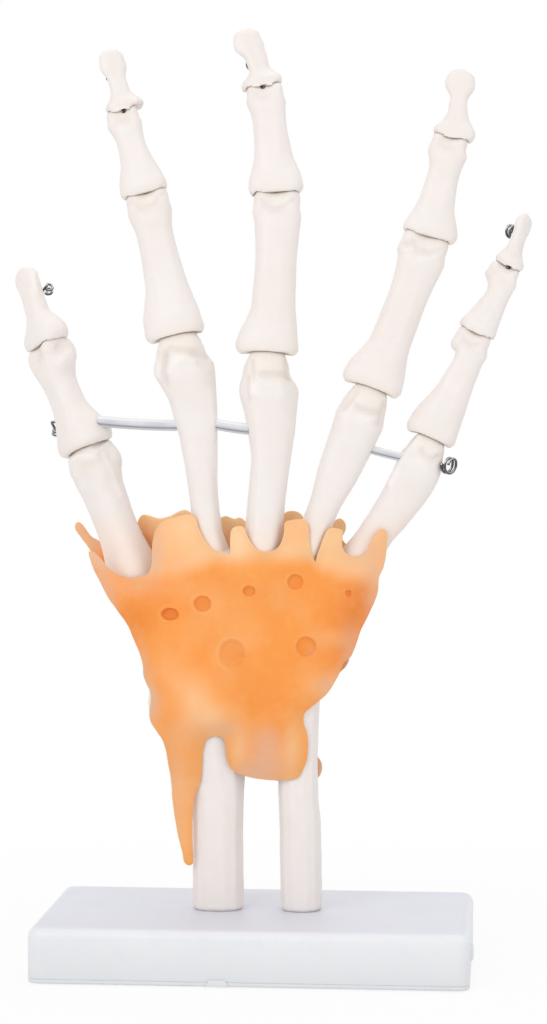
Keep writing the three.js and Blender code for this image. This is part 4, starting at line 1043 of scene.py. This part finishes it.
def body_name(digit, bone):
    return "hand" if bone == "metacarpal" else f"{digit}_{bone}"


COIL_BONES = {"thumb_proximal_phalanx": RADIAL, "little_metacarpal": ULNAR}
# How far each joint turns, in degrees, by the digit and the bone that moves.
LIMITS = {"proximal_phalanx": (-10, 45), "middle_phalanx": (-5, 60), "distal_phalanx": (-5, 40)}
THUMB_LIMITS = {"proximal_phalanx": (-8, 25), "distal_phalanx": (-8, 50)}


def turned(name, hinge, axis, degrees):
    """The bone below a joint, a little grown, as the bone above sees it when the joint turns."""
    co, tris = finished[name]
    turn = np.array(Matrix.Rotation(math.radians(degrees), 3, Vector(axis)))
    return new_object("turned", (co - hinge) @ turn.T + hinge, tris)


def foot_room(lay, bone, less=0.):
    """The space round the lowest part of a metacarpal, whose cut foot comes from the solid."""
    top = lay["spans"][0] * bone.get("foot", .16)
    c, s = circle(16)
    return [at(lay["frames"][0], np.stack([16 * c, 16 * s, np.full(16, z)], 1)) for z in (-12., top - less)]


def build_digit(name, seed):
    digit, lay = DIGITS[name], layouts[name]
    through, _, beyond = wire_route(name)
    for i, bone in enumerate(digit["bones"]):
        node = f"{name}_{bone['name']}"
        matrix, span = lay["frames"][i], lay["spans"][i]
        hinge, way = lay["hinges"][i], lay["ways"][i]
        start = lay["reach"][i - 1] if i else 0
        before = digit["bones"][i - 1] if i else None
        obj = shaft(bone, matrix, start, span + lay["reach"][i], span, RIM_ARCH if i == 1 else 0,
                    before["knuckle"][2] + JOINT_GAP if i else 0)
        if "knuckle" in bone:
            combine(obj, knuckle(bone, matrix, span), "UNION")
        joints, stained = [], []
        bores = [bore_through([*through, beyond])]
        if i:
            *half, radius = before["knuckle"]
            socket = {**before, "knuckle": [*(np.array(half) + bone.get("open", [0, 0])), radius]}
            combine(obj, knuckle(socket, lay["frames"][i - 1], lay["spans"][i - 1], JOINT_GAP), "DIFFERENCE")
            below, axis = lay["hinges"][i - 1], lay["frames"][i - 1][:3, 0]
            joints.append((below, radius * 1.1))
            # The joint gap's painted shade runs along the hinge below.
            stained.append((below, axis, max(half), radius))
        else:
            # A metacarpal's foot keeps the cuts that make room for the wrist bones.
            foot = weld(from_node(node))
            remesh(foot, .5)
            combine(foot, skin("keep", foot_room(lay, bone)), "INTERSECT")
            combine(obj, skin("low", foot_room(lay, bone, .5)), "DIFFERENCE")
            combine(obj, foot, "UNION")
        if "knuckle" in bone:
            joints.append((hinge + way * bone["knuckle"][2] * .4, bone["knuckle"][2] * .9))
        if node in COIL_BONES:
            points, shore, out, _ = spreader_route(COIL_BONES[node])
            bores.append(bore_through([shore + 1.7 * out, points[0]]))
        if i == len(digit["bones"]) - 1 and name in GLIMPSES:
            bores.append(notch(name))
        if i:
            low, high = (THUMB_LIMITS if name == "thumb" else LIMITS)[bone["name"]]
            bores += [turned(f"{name}_{before['name']}", below, axis, degrees)
                      for degrees in (low, high / 2, high)]
        # Metacarpals get painted warm light from the rubber; every bone gets painted shade and highlights
        # from its marks.
        marks = lambda co, widen=1.7: strokes(node, digit, inside(matrix, co), span, widen)
        clouds[node] = finish_bone(
            obj, node, body_name(name, bone["name"]), 9,
            carved=lambda co: carve(bone, inside(matrix, co), start, span) + marks(co, 1.),
            chiselled=lambda co: at(matrix, chisel(bone, inside(matrix, co), start, span)),
            joints=joints, stained=stained, bores=bores, blush=0. if i else .55, marks=marks, seed=seed + i)


for number, digit_name in enumerate(DIGITS):
    build_digit(digit_name, 10 * number + 1)
for number, carpal in enumerate(CARPALS):
    clouds[carpal] = finish_bone(weld(from_node(carpal)), carpal, "hand", 10, lumps=.25, seed=60 + number)
for number, forearm in enumerate(("radius", "ulna")):
    # The radius is drawn in behind the edge of the back sheet.
    clouds[forearm] = finish_bone(weld(from_node(forearm)), forearm, "stand", 24, lumps=.14, seed=80 + number,
                                  carved=lambda co: -1.5 * blob(co, [-29, 0, WRIST - 31], [5, 14, 7]))


# Wires. Each digit's wire is split in the middle of every bone, so that each stretch spans one joint.
def steel(name, path, body, nodes=()):
    obj = dress(sweep_mesh(name, path, WIRE["radius"], 12), name, LOOKS["wire"], nodes)
    if body:
        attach(obj, body)
    return obj


def cut_run(path, low, high):
    """The part of a path from its point nearest to low up to its point nearest to high."""
    near = lambda p: int(np.argmin(np.linalg.norm(path - p, axis=1)))
    return path[near(low):near(high) + 1]


def build_wire(name):
    digit, lay = DIGITS[name], layouts[name]
    through, winding, _ = wire_route(name)
    path = smooth_path([*through, winding[0]], .7)
    names = [body_name(name, b["name"]) for b in digit["bones"]]
    hinges, ways = lay["hinges"], lay["ways"]
    last = hinges[-2] + ways[-1] * 4
    mids = [path[0], *((hinges[i] + hinges[i - 1]) / 2 for i in range(1, len(names) - 1)), last]
    for i in range(len(names) - 1):
        run = cut_run(path, mids[i], mids[i + 1])
        piece = steel(f"{name}_wire_{i + 1}", run, None, [f"{name}_wire"] if i == 0 else ())
        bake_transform(piece)
    tip = np.vstack([cut_run(path, last, path[-1])[:-1], winding])
    steel(f"{name}_wire_eye", tip, names[-1])


for digit_name in DIGITS:
    build_wire(digit_name)


# How far each tube is pushed into the bones at its two ends, and how its first end is moved.
TUBE_ENDS = {
    "spacer_thumb_index": (2.6, 2.4, [0, 0, .55]), "spacer_index_middle": (1.6, 1.6, [0, 1.1, .75]),
    "spacer_ring_little": (1.3, 2, [0, 0, 0]),
}


def build_spreaders():
    points, shore, out, winding = spreader_route(RADIAL)
    head = smooth_path([winding[-1], shore + .8 * out, shore, points[0]], .5)
    steel("spreader_wire_radial_coil", np.vstack([winding[:-1], head]), "thumb_proximal_phalanx",
          ["spreader_wire_radial"])
    middle = smooth_path([points[0] + TUBE_ENDS["spacer_thumb_index"][2], points[1]], .8)
    piece = steel("spreader_wire_radial_span", middle, None)
    low, high, _ = SPACERS["spacer_thumb_index"]
    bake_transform(piece)
    low, high = (np.array(p, float) for p in SPACERS["spacer_index_middle"][:2])
    low += TUBE_ENDS["spacer_index_middle"][2]
    steel("spreader_wire_radial_end", smooth_path([high + 1.85 * (low - high), high, points[2]], .8), "hand")
    points, shore, out, winding = spreader_route(ULNAR)
    whole = np.vstack([winding[:-1], smooth_path([winding[-1], shore + .8 * out, shore, *points], .6)])
    steel("spreader_wire_ulnar_coil", whole, "hand", ["spreader_wire_ulnar"])
    for name, (a, b, outer) in SPACERS.items():
        a, b = np.array(a, float), np.array(b, float)
        near, far, rise = TUBE_ENDS[name]
        a += rise
        a, b = a - unit(b - a) * near, b + unit(b - a) * far
        share = np.linspace(0, 1, 25)
        sag = 4 * share * (1 - share) * .012 * np.linalg.norm(b - a)
        line = a + np.outer(share, b - a) - np.outer(sag, [0, 0, 1])
        size = outer * (1 - .06 * (bell(share, .04) + bell(1 - share, .04)))
        tube = sweep_mesh(name, line, size, 28)
        room = np.vstack([a + (a - b) * .2, line, b + (b - a) * .2])
        combine(tube, sweep_mesh("bore", room, .8, 16), "DIFFERENCE")
        dress(tube, name, LOOKS["tube"], [name], sharp=40)
        if name == "spacer_thumb_index":
            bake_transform(tube)
        else:
            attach(tube, "hand")


build_spreaders()


# Ligament sheets.
def closed_curve(outline, per=8):
    """A smooth closed curve through the outline's points, which ends where it starts."""
    p = np.array(outline, float)
    n = len(p)
    out = []
    for i in range(n):
        a, b, c, d = p[i - 1], p[i], p[(i + 1) % n], p[(i + 2) % n]
        t1, t2, t3 = np.cumsum([np.linalg.norm(b - a) ** .5, np.linalg.norm(c - b) ** .5,
                                np.linalg.norm(d - c) ** .5])
        for t in np.linspace(t1, t2, per, endpoint=False):
            q1, q2 = a + (b - a) * t / t1, b + (c - b) * (t - t1) / (t2 - t1)
            q3 = c + (d - c) * (t - t2) / (t3 - t2)
            r1, r2 = q1 + (q2 - q1) * t / t2, q2 + (q3 - q2) * (t - t1) / (t3 - t1)
            out.append(r1 + (r2 - r1) * (t - t1) / (t2 - t1))
    return np.array(out + out[:1])


def outermost(side):
    """Picks the value further out on the back (-1) or the palm side (1)."""
    return np.minimum if side < 0 else np.maximum


def relief(names, side, x0, z0, columns, rows, blank):
    """The bones' nearest surface to the viewer on one side, on a 1 mm grid."""
    grid = np.full((rows, columns), blank)
    for name in names:
        co = clouds[name]
        i = np.rint(co[:, 0] - x0).astype(int)
        j = np.rint(co[:, 2] - z0).astype(int)
        ok = (i >= 0) & (j >= 0) & (i < columns) & (j < rows)
        outermost(side).at(grid, (j[ok], i[ok]), co[ok, 1])
    return grid


def spread_out(grid, side):
    """Each cell takes the outermost value of itself and its neighbours."""
    out = grid.copy()
    for axis in (0, 1):
        base = out.copy()
        for way in (-1, 1):
            out = outermost(side)(out, np.roll(base, way, axis))
    return out


def lookup(grid, x, z, x0, z0):
    """The grid's values between its cells."""
    i = np.clip(x - x0, 0, grid.shape[1] - 1.001)
    j = np.clip(z - z0, 0, grid.shape[0] - 1.001)
    a, b = i.astype(int), j.astype(int)
    u, v = i - a, j - b
    return ((1 - u) * (1 - v) * grid[b, a] + u * (1 - v) * grid[b, a + 1]
            + (1 - u) * v * grid[b + 1, a] + u * v * grid[b + 1, a + 1])


def edge_distance(x, z, curve):
    """How far each point is from the outline, seen from the back."""
    best = np.full(np.shape(x), 1e9)
    for p in curve:
        best = np.minimum(best, (x - p[0]) ** 2 + (z - p[1]) ** 2)
    return np.sqrt(best)


def beside(height):
    """The sum of the four cells beside each one."""
    wide = np.pad(height, 1, mode="edge")
    return wide[:-2, 1:-1] + wide[2:, 1:-1] + wide[1:-1, :-2] + wide[1:-1, 2:]


def drape(floor, side, rest, passes):
    """A film pulled flat over the floor, and gently in towards rest between its supports."""
    height = floor.copy()
    for _ in range(passes):
        mean = (beside(height) + SHEET["pull"] * rest) / (4 + SHEET["pull"])
        height = outermost(side)(floor, mean)
    return height


def soften(height, passes):
    for _ in range(passes):
        height = beside(height) / 4
    return height


def fill_outline(curve, step, extra):
    """Triangles inside a closed curve, over its own points, a staggered grid and extra points."""
    low, high = curve.min(0), curve.max(0)
    rows = np.arange(low[1], high[1], step * .87)
    grid = [(x + (step / 2 if k % 2 else 0), z) for k, z in enumerate(rows)
            for x in np.arange(low[0], high[0], step)]
    points = np.vstack([grid, extra])
    away = edge_distance(points[:, 0], points[:, 1], curve) > step * .62
    near = np.zeros(len(points), bool)
    for p in extra[::3]:
        near |= np.hypot(points[:, 0] - p[0], points[:, 1] - p[1]) < step * .45
    near[len(grid):] = False
    points = points[away & ~near]
    every = [Vector(p) for p in curve] + [Vector(p) for p in points]
    n = len(curve)
    edges = [(i, (i + 1) % n) for i in range(n)]
    made, _, tris, source, _, _ = geometry.delaunay_2d_cdt(every, edges, [], 1, 1e-6)
    made = np.array([tuple(p) for p in made])
    rim = np.full(n, -1)
    for new, old in enumerate(source):
        for k in old:
            if k < n:
                rim[k] = new
    return made, np.array([t[:3] for t in tris]), rim


RING_SHARES = (.35, .68, .82, .93, 1.04, 1.16, 1.34)


def rings_of(dimples):
    """Extra points round each hollow, so that its wall is crisp."""
    out = [np.zeros((0, 2))]
    for x, h, wide, tall, _ in dimples:
        for share in RING_SHARES:
            c, s = circle(int(TAU * share * max(wide, tall) / .5) + 5)
            out.append(np.stack([x + share * wide * c, WRIST + h + share * tall * s], 1))
    return np.vstack(out)


def tone_over(spots, x, h):
    """The sum of soft spots of [x, height, half width, half height, amount]."""
    total = np.zeros(len(x))
    for sx, sh, wide, tall, amount in spots:
        total += amount * np.exp(-((x - sx) / wide) ** 2 - ((h - sh) / tall) ** 2)
    return total


# Where the sheets are stretched thin and pale over bone, where they are thick and deep, and where
# the thin edges look dusky.
DORSAL_TONES = {
    "edge": .12,
    "line": [[-60, 23], [-47, 20.6], [-37.8, 18], [-24, 18.6], [-16.8, 21], [-11.5, 23.2], [-.1, 23.6],
             [14.5, 23],
             [18.2, 20.4], [25.1, 18.2], [33.3, 17.5], [37, 14.8], [45, 12]],
    "pale": [[-7, 29, 4, 5, .35], [-22, 30, 6, 5, .1], [22, 28, 5, 5, .15], [-18, -16, 5, 6, .35],
             [-23, -13, 6, 7, .2], [19, -14, 6, 5, .3], [20.4, .1, 5, 3, .3], [-14, -24, 6, 5, .42],
             [-10, 1, 9, 5, .15], [-22.5, -50, 5, 18, .35], [9.8, -33, 2.8, 10, .48],
             [-5.6, -33, 2.6, 9, .45],
             [-25, 14, 10, 4, .15], [-19, -20, 3, 5, .2], [-13, -22, 4, 4, .25]],
    "deep": [[-36, 6, 7, 9, .7], [27, 6, 6, 12, .95], [1.5, -18, 8, 6, .3], [-4, 12, 26, 6, .2],
             [-7.4, -9, 6, 6, .2], [-7.4, -4.2, 3.4, 3.8, .3], [31, 12, 4, 8, .4]],
    "dusk": [[-47.5, 18, 4, 8, .55], [-44.6, 11, 3, 6, .35], [-48, 24, 3, 3, .5], [-32.6, -19, 3.4, 6, 1.],
             [-34.6, -9, 2.4, 5, .55], [-30.4, 25, 2.6, 8, .5], [34, 12, 3.5, 9, .5], [27, -4, 3, 8, .5],
             [21.5, -14, 4, 4, .5], [33, 25, 6, 7, .35], [-25, -44, 4, 20, .3], [2.6, -29, 4.6, 4, .45],
             [2.4, -37, 6, 7, .8], [-4, -39, 4, 3, .4],
             [15.6, -3.4, 1.7, 1.9, .2], [-18, -28, 4, 5, .3], [-10, -26, 5, 3, .5], [-36, 15, 8, 3, .25]],
}
# The pale spots along the palm sheet's top are painted light: they brighten the parts of it that lie in shade
# behind the bones.
PALM_TONES = {
    "edge": .05,
    "line": [[-60, 24], [-20, 22], [60, 20]],
    "pale": [[-53, 29, 4, 5, -.2], [-28, 33, 12, 6, .4], [-10, 33, 6, 6, .4], [9, 34, 6, 6, .4],
             [22, 31, 5, 5, .4]],
    "deep": [[-34, -2, 8, 12, .5], [30, 5, 6, 12, .5]],
    "dusk": [[-51, 27, 3, 4, .7], [-55, 31, 1.6, 4, .6], [-10, 28, 3, 4, .2], [17.5, -39, 4, 5, 1.],
             [24, -8, 4, 4, .8]],
}


def rim_strip(flat, rim, low, top, points):
    """The edge of a sheet: three rows of points round it, and the faces of a thin rounded strip."""
    ring = flat[rim]
    ahead = np.roll(ring, -1, 0) - np.roll(ring, 1, 0)
    out = np.stack([ahead[:, 1], -ahead[:, 0]], 1) / np.linalg.norm(ahead, axis=1)[:, None]
    x, z = ring.T
    if np.sum(x * np.roll(z, -1) - np.roll(x, -1) * z) < 0:
        out = -out
    layers = [rim + len(flat)]
    for turn in (45, 90, 135):
        a = math.radians(turn)
        place = ring + out * .2 * math.sin(a)
        y = (low[rim] + top[rim]) / 2 + (top[rim] - low[rim]) / 2 * math.cos(a)
        layers.append(np.arange(len(rim)) + sum(len(p) for p in points))
        points.append(np.stack([place[:, 0], y, place[:, 1]], 1))
    layers.append(rim)
    return [(a[i - 1], a[i], b[i], b[i - 1]) for a, b in zip(layers, layers[1:])
            for i in (*range(1, len(rim)), 0)]


def paint_sheet(obj, curve, tones, count, hollow, bright, arc):
    """Pale, deep and dusky zones, and the hollows' tones, painted rim highlights and shadow arcs, known on
    the two faces.
    """
    co, _ = arrays(obj)
    x, z = co[:, 0], co[:, 2]
    h = z - WRIST
    line = np.interp(x, *np.array(tones["line"]).T)
    edge = edge_distance(x, z, curve)
    pale = .62 * eased((h - line + 3) / 6) + tone_over(tones["pale"], x, h) + .16 * grain(co, 11, 3, 7)
    deep = tone_over(tones["deep"], x, h) * (1 - np.clip(pale, 0, 1)) + .14 * grain(co, 10, 2, 11)
    deep += .32 * bell(edge, .8)
    dusk = tone_over(tones["dusk"], x, h) + .1 * grain(co, 8, 2, 13) * np.clip(1 - edge / 8, 0, 1)
    dusk += tones["edge"] * bell(edge, 1.6)
    marks, dents, rims, arcs = np.zeros((4, len(co)))
    for values, shown in ((marks, hollow ** 3), (dents, hollow), (rims, bright), (arcs, arc)):
        values[:count] = values[count:2 * count] = shown
    # Painted highlights on the hollows' rims lift the pale tone, and painted shadow arcs add to the deep
    # tone.
    attribute(obj, "pale", np.clip(pale - marks, 0, 1) + .16 * rims)
    attribute(obj, "deep", np.clip(deep + .9 * marks, 0, 1) + .15 * dents + .4 * arcs)
    attribute(obj, "dusk", np.clip(dusk, 0, 1) * .85)


def dress_sheet(name, side, outline, tones, dimples=()):
    curve = spaced(closed_curve([[x, WRIST + h] for x, h in outline]), .7, closed=True)
    ragged = np.stack([curve[:, 0], curve[:, 1], np.full(len(curve), 30. * side)], 1)
    curve += .22 * np.stack([grain(ragged, 5, 2, 21), grain(ragged, 5, 2, 22)], 1)
    x0, z0 = np.floor(curve.min(0)) - 4
    columns, rows = (np.ceil(curve.max(0)) + 5 - [x0, z0]).astype(int)
    blank = side * SHEET["parting"]
    bones = ["radius", "ulna", *CARPALS, *(f"{d}_metacarpal" for d in DIGITS)]
    high = relief(bones, side, x0, z0, columns, rows, blank)
    gx, gz = np.meshgrid(x0 + np.arange(columns), z0 + np.arange(rows))
    gap = side * np.interp(gz, [WRIST + 2, WRIST + 14], [SHEET["gap"], .12])
    inner = drape(spread_out(np.where(high == blank, blank, high + gap), side), side, blank, 1400)
    inner = soften(inner, 2)
    full = np.where(gz > WRIST + SHEET["tail_top"], SHEET["thickness"], SHEET["tail"])
    edge = edge_distance(gx, gz, curve)
    thick = soften(full, 4) * (.16 + .84 * eased(edge / 6.5))
    outer = soften(drape(inner + side * thick, side, blank, 30), 5)
    outer = soften(np.where(edge < 3, inner + side * thick, outer), 2)

    flat, tris, rim = fill_outline(curve, 1.15, rings_of(dimples))
    x, z = flat.T
    h = z - WRIST
    low = lookup(inner, x, z, x0, z0)
    top = lookup(outer, x, z, x0, z0)
    lumps = .22 * grain(np.stack([x, z, 0 * x], 1), 9, 3, 91 + side)
    top += side * lumps * eased(edge_distance(x, z, curve) / 4)
    # Round each hollow: a deeper tone inside it, a painted highlight along its rim (bright) and a painted
    # shadow arc just inside the rim, each stronger on one side.
    hollow, bright, arc = np.zeros((3, len(x)))
    for dx, dh, wide, tall, depth in dimples:
        d = np.hypot((x - dx) / wide, (h - dh) / tall)
        dent = falling((d - .95) * 22)
        top += side * (.1 * bell(d - 1.2, .13) - depth * dent)
        hollow = np.maximum(hollow, dent * depth / 1.2)
        lit = eased(.5 + (x - dx - h + dh) / -4 / wide)
        bright = np.maximum(bright, bell(d - 1.18, .14) * lit)
        shaded = .45 + .55 * eased(.5 + (x - dx + h - dh) / 3 / wide)
        arc = np.maximum(arc, bell(d - .96, .13) * shaded)
    count = len(flat)
    points = [np.stack([x, low, z], 1), np.stack([x, top, z], 1)]
    area = np.cross(flat[tris[:, 1]] - flat[tris[:, 0]], flat[tris[:, 2]] - flat[tris[:, 0]])
    tris = np.where((area > 0)[:, None], tris, tris[:, ::-1])
    front, back = (tris + count, tris[:, ::-1]) if side < 0 else (tris[:, ::-1] + count, tris)
    faces = front.tolist() + back.tolist() + rim_strip(flat, rim, low, top, points)
    obj = new_object(name, np.vstack(points), faces)
    fix = bmesh.new()
    fix.from_mesh(obj.data)
    bmesh.ops.recalc_face_normals(fix, faces=fix.faces)
    fix.to_mesh(obj.data)
    fix.free()
    face_outwards(obj)
    paint_sheet(obj, curve, tones, count, hollow, bright, arc)
    dress(obj, name, LOOKS["sheet"], [name])
    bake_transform(obj)


dress_sheet("dorsal_ligament", -1, DORSAL_OUTLINE, DORSAL_TONES, DIMPLES)
dress_sheet("palmar_ligament", 1, PALMAR_OUTLINE, PALM_TONES)


# The base.
def base_ring(z, inset, steps=10):
    """A rounded rectangle drawn in from the base's outline."""
    corner = max(.5, BASE["corner"] - inset)
    w, d = BASE["width"] / 2 - inset - corner, BASE["depth"] / 2 - inset - corner
    ring = []
    for sx, sy, turn in ((1, 1, 0), (-1, 1, 90), (-1, -1, 180), (1, -1, 270)):
        for k in range(steps + 1):
            a = math.radians(turn + 90 * k / steps)
            ring.append([BASE["shift"] + sx * w + corner * math.cos(a), sy * d + corner * math.sin(a), z])
    return ring


def soft_box(x, y, z, round_by, lean=0.):
    """A small block with rounded edges between low and high X, Y and Z; lean slants its ends."""
    made = new_object("block", [(x[i] + (lean if k else -lean) * (1 if i else -1), y[j], z[k])
                                for k in (0, 1) for j in (0, 1) for i in (0, 1)],
                      [(0, 2, 3, 1), (4, 5, 7, 6), (0, 1, 5, 4), (2, 6, 7, 3), (0, 4, 6, 2), (1, 3, 7, 5)])
    face_outwards(made)
    step = made.modifiers.new("round", "BEVEL")
    step.width = round_by
    step.segments = 4
    return settle(made)


def build_base():
    top, plate, fillet, wall = BASE["height"], BASE["plate"], BASE["fillet"], BASE["wall"]
    seam = .2
    rings = [base_ring(plate + .02, seam), base_ring(plate + seam, .04), base_ring(plate + 2 * seam, 0),
             base_ring(top - fillet, 0)]
    for k in range(1, 11):
        a = math.radians(9 * k)
        rings.append(base_ring(top - fillet * (1 - math.sin(a)), fillet * (1 - math.cos(a))))
    shell = skin("shell", rings)
    combine(shell, skin("room", [base_ring(plate - 1, wall), base_ring(top - wall, wall)]), "DIFFERENCE")
    side, front = BASE["width"] / 2 + BASE["shift"], -BASE["depth"] / 2
    about = lambda middle, size: (middle - size / 2, middle + size / 2)
    nub = soft_box((side - 1, side + NUB["reach"] - .02), about(front + NUB["setback"], NUB["width"]),
                   about(top - NUB["drop"], NUB["height"]), .95)
    combine(shell, nub, "UNION")
    for x in SCREW_PLACES:
        column = lambda low, high, radius: sweep_mesh("column", [(x, 0, low), (x, 0, high)], radius, 32)
        combine(shell, column(6.2, top - wall / 2, 4.5), "UNION")
        combine(shell, column(0., top + 1, 1.8), "DIFFERENCE")
    dress(shell, "base_shell", LOOKS["base"], ["base_shell"], sharp=30)
    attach(shell, "stand")
    low = skin("low", [base_ring(z, inset) for z, inset in
                       ((.0, .35), (.3, .05), (plate - seam, .02), (plate, seam))])
    tab = soft_box(about(TAB["at"], TAB["width"]), (front - TAB["reach"] + .02, front + .6),
                   (.05, TAB["height"]), .25, lean=-.45)
    combine(low, tab, "UNION")
    dress(low, "base_bottom_plate", LOOKS["base"], ["base_bottom_plate"], sharp=30)
    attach(low, "stand")


def build_screws():
    """Pan-head screws with a cross recess, up through the base into the forearm bones."""
    for name, x in zip(("base_screw_radius", "base_screw_ulna"), SCREW_PLACES):
        low, high = 3.5, 5.9
        z = high + .4
        profile = [(2.0, low), (2.45, low + .25), (2.75, low + .9), (2.8, high), (1.5, high), (1.5, z)]
        while z < BASE["height"] + 12:
            profile += [(1.18, z + .35), (1.5, z + .7)]
            z += .7
        profile += [(1.0, z + .8), (.15, BASE["height"] + 13.9)]
        c, s = circle(36)
        screw = skin("screw", [np.stack([x + r * c, r * s, np.full(36, h)], 1) for r, h in profile])
        for wide, deep in ((.3, 1.5), (1.5, .3)):
            slot = soft_box((x - wide, x + wide), (-deep, deep), (low - 1, low + 1.1), .08)
            combine(screw, slot, "DIFFERENCE")
        dress(screw, name, LOOKS["screw"], [name], sharp=35)
        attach(screw, "stand")


build_base()
build_screws()


# Floor, light and camera.
def build_stage():
    floor = new_object("floor", [(-3, -3, 0), (3, -3, 0), (3, 3, 0), (-3, 3, 0)], [(0, 1, 2, 3)])
    look = Look("floor_paper")
    tone = look.mix(look.cloud(3, 3, .3, .7), rgb(246, 246, 246), rgb(250, 250, 250))
    look.finish(Base_Color=tone, Roughness=.8, Specular_IOR_Level=.1)
    glow = look.add("ShaderNodeEmission", {"Color": (1, 1, 1, 1), "Strength": 1.})
    ray = look.add("ShaderNodeLightPath").outputs
    # The camera and reflections see plain white far from the base, and some of the shadow near it.
    far = look.add("ShaderNodeVectorMath", {0: look.place}, operation="LENGTH").outputs["Value"]
    seen = look.add("ShaderNodeMath", {0: ray["Is Camera Ray"], 1: ray["Is Glossy Ray"]},
                    operation="MAXIMUM").outputs[0]
    seen = look.add("ShaderNodeMath", {0: seen, 1: look.span(far, .09, .3, .86, 1.)},
                    operation="MULTIPLY").outputs[0]
    both = look.add("ShaderNodeMixShader", {0: seen, 1: look.shader.outputs[0], 2: glow.outputs[0]})
    put(look.tree, look.tree.nodes["Material Output"].inputs[0], both.outputs[0])
    floor.data.materials.append(look.material)
    floor.location.z = -.0004

    world = bpy.data.worlds.new("studio")
    bpy.context.scene.world = world
    world.use_nodes = True
    tree = world.node_tree
    ray = add_node(tree, "ShaderNodeLightPath").outputs
    clear = add_node(tree, "ShaderNodeMath", {0: ray["Is Transmission Ray"], 1: ray["Is Glossy Ray"]},
                     operation="MAXIMUM").outputs[0]
    seen = add_node(tree, "ShaderNodeMath", {0: ray["Is Camera Ray"], 1: clear},
                    operation="MAXIMUM").outputs[0]
    strength = add_node(tree, "ShaderNodeMapRange", {"Value": seen, "To Min": .72, "To Max": 1.}).outputs[0]
    sky = tree.nodes["Background"]
    put(tree, sky.inputs["Color"], (1, 1, 1, 1))
    put(tree, sky.inputs["Strength"], strength)

    aim = Vector((0, 0, .14))
    for name, place, size, power in (("key", (-.55, -1.1, .75), .9, 4.5), ("fill", (.9, -.8, .45), .8, 1.2),
                                     ("top", (.1, .25, 1.2), .9, 2.4)):
        lamp = bpy.data.lights.new(name, "AREA")
        lamp.shape = "SQUARE"
        lamp.size = size
        lamp.energy = power
        obj = bpy.data.objects.new(name, lamp)
        obj.location = place
        obj.rotation_euler = (aim - Vector(place)).to_track_quat("-Z", "Y").to_euler()
        bpy.context.scene.collection.objects.link(obj)


CAMERA = {"place": (73.1, -897.9, 169.6), "yaw": 4.42, "pitch": 2.31, "roll": .19,
          "focal": 3069, "long_side": 1024}


def build_camera():
    yaw, pitch, roll = (math.radians(CAMERA[k]) for k in ("yaw", "pitch", "roll"))
    ahead = Vector((-math.sin(yaw) * math.cos(pitch), math.cos(yaw) * math.cos(pitch), -math.sin(pitch)))
    right = Vector((math.cos(yaw), math.sin(yaw), 0))
    up = right.cross(ahead)
    right, up = right * math.cos(roll) + up * math.sin(roll), up * math.cos(roll) - right * math.sin(roll)
    data = bpy.data.cameras.new("camera")
    data.sensor_width = 36
    data.lens = CAMERA["focal"] / CAMERA["long_side"] * data.sensor_width
    data.clip_start, data.clip_end = .01, 20
    obj = bpy.data.objects.new("camera", data)
    turn = Matrix((right, up, -ahead)).transposed().to_4x4()
    obj.matrix_world = Matrix.Translation(Vector(CAMERA["place"]) * MM) @ turn
    bpy.context.scene.collection.objects.link(obj)
    bpy.context.scene.camera = obj


build_stage()
build_camera()
bpy.context.scene.view_settings.view_transform = "Standard"

bpy.context.view_layer.update()
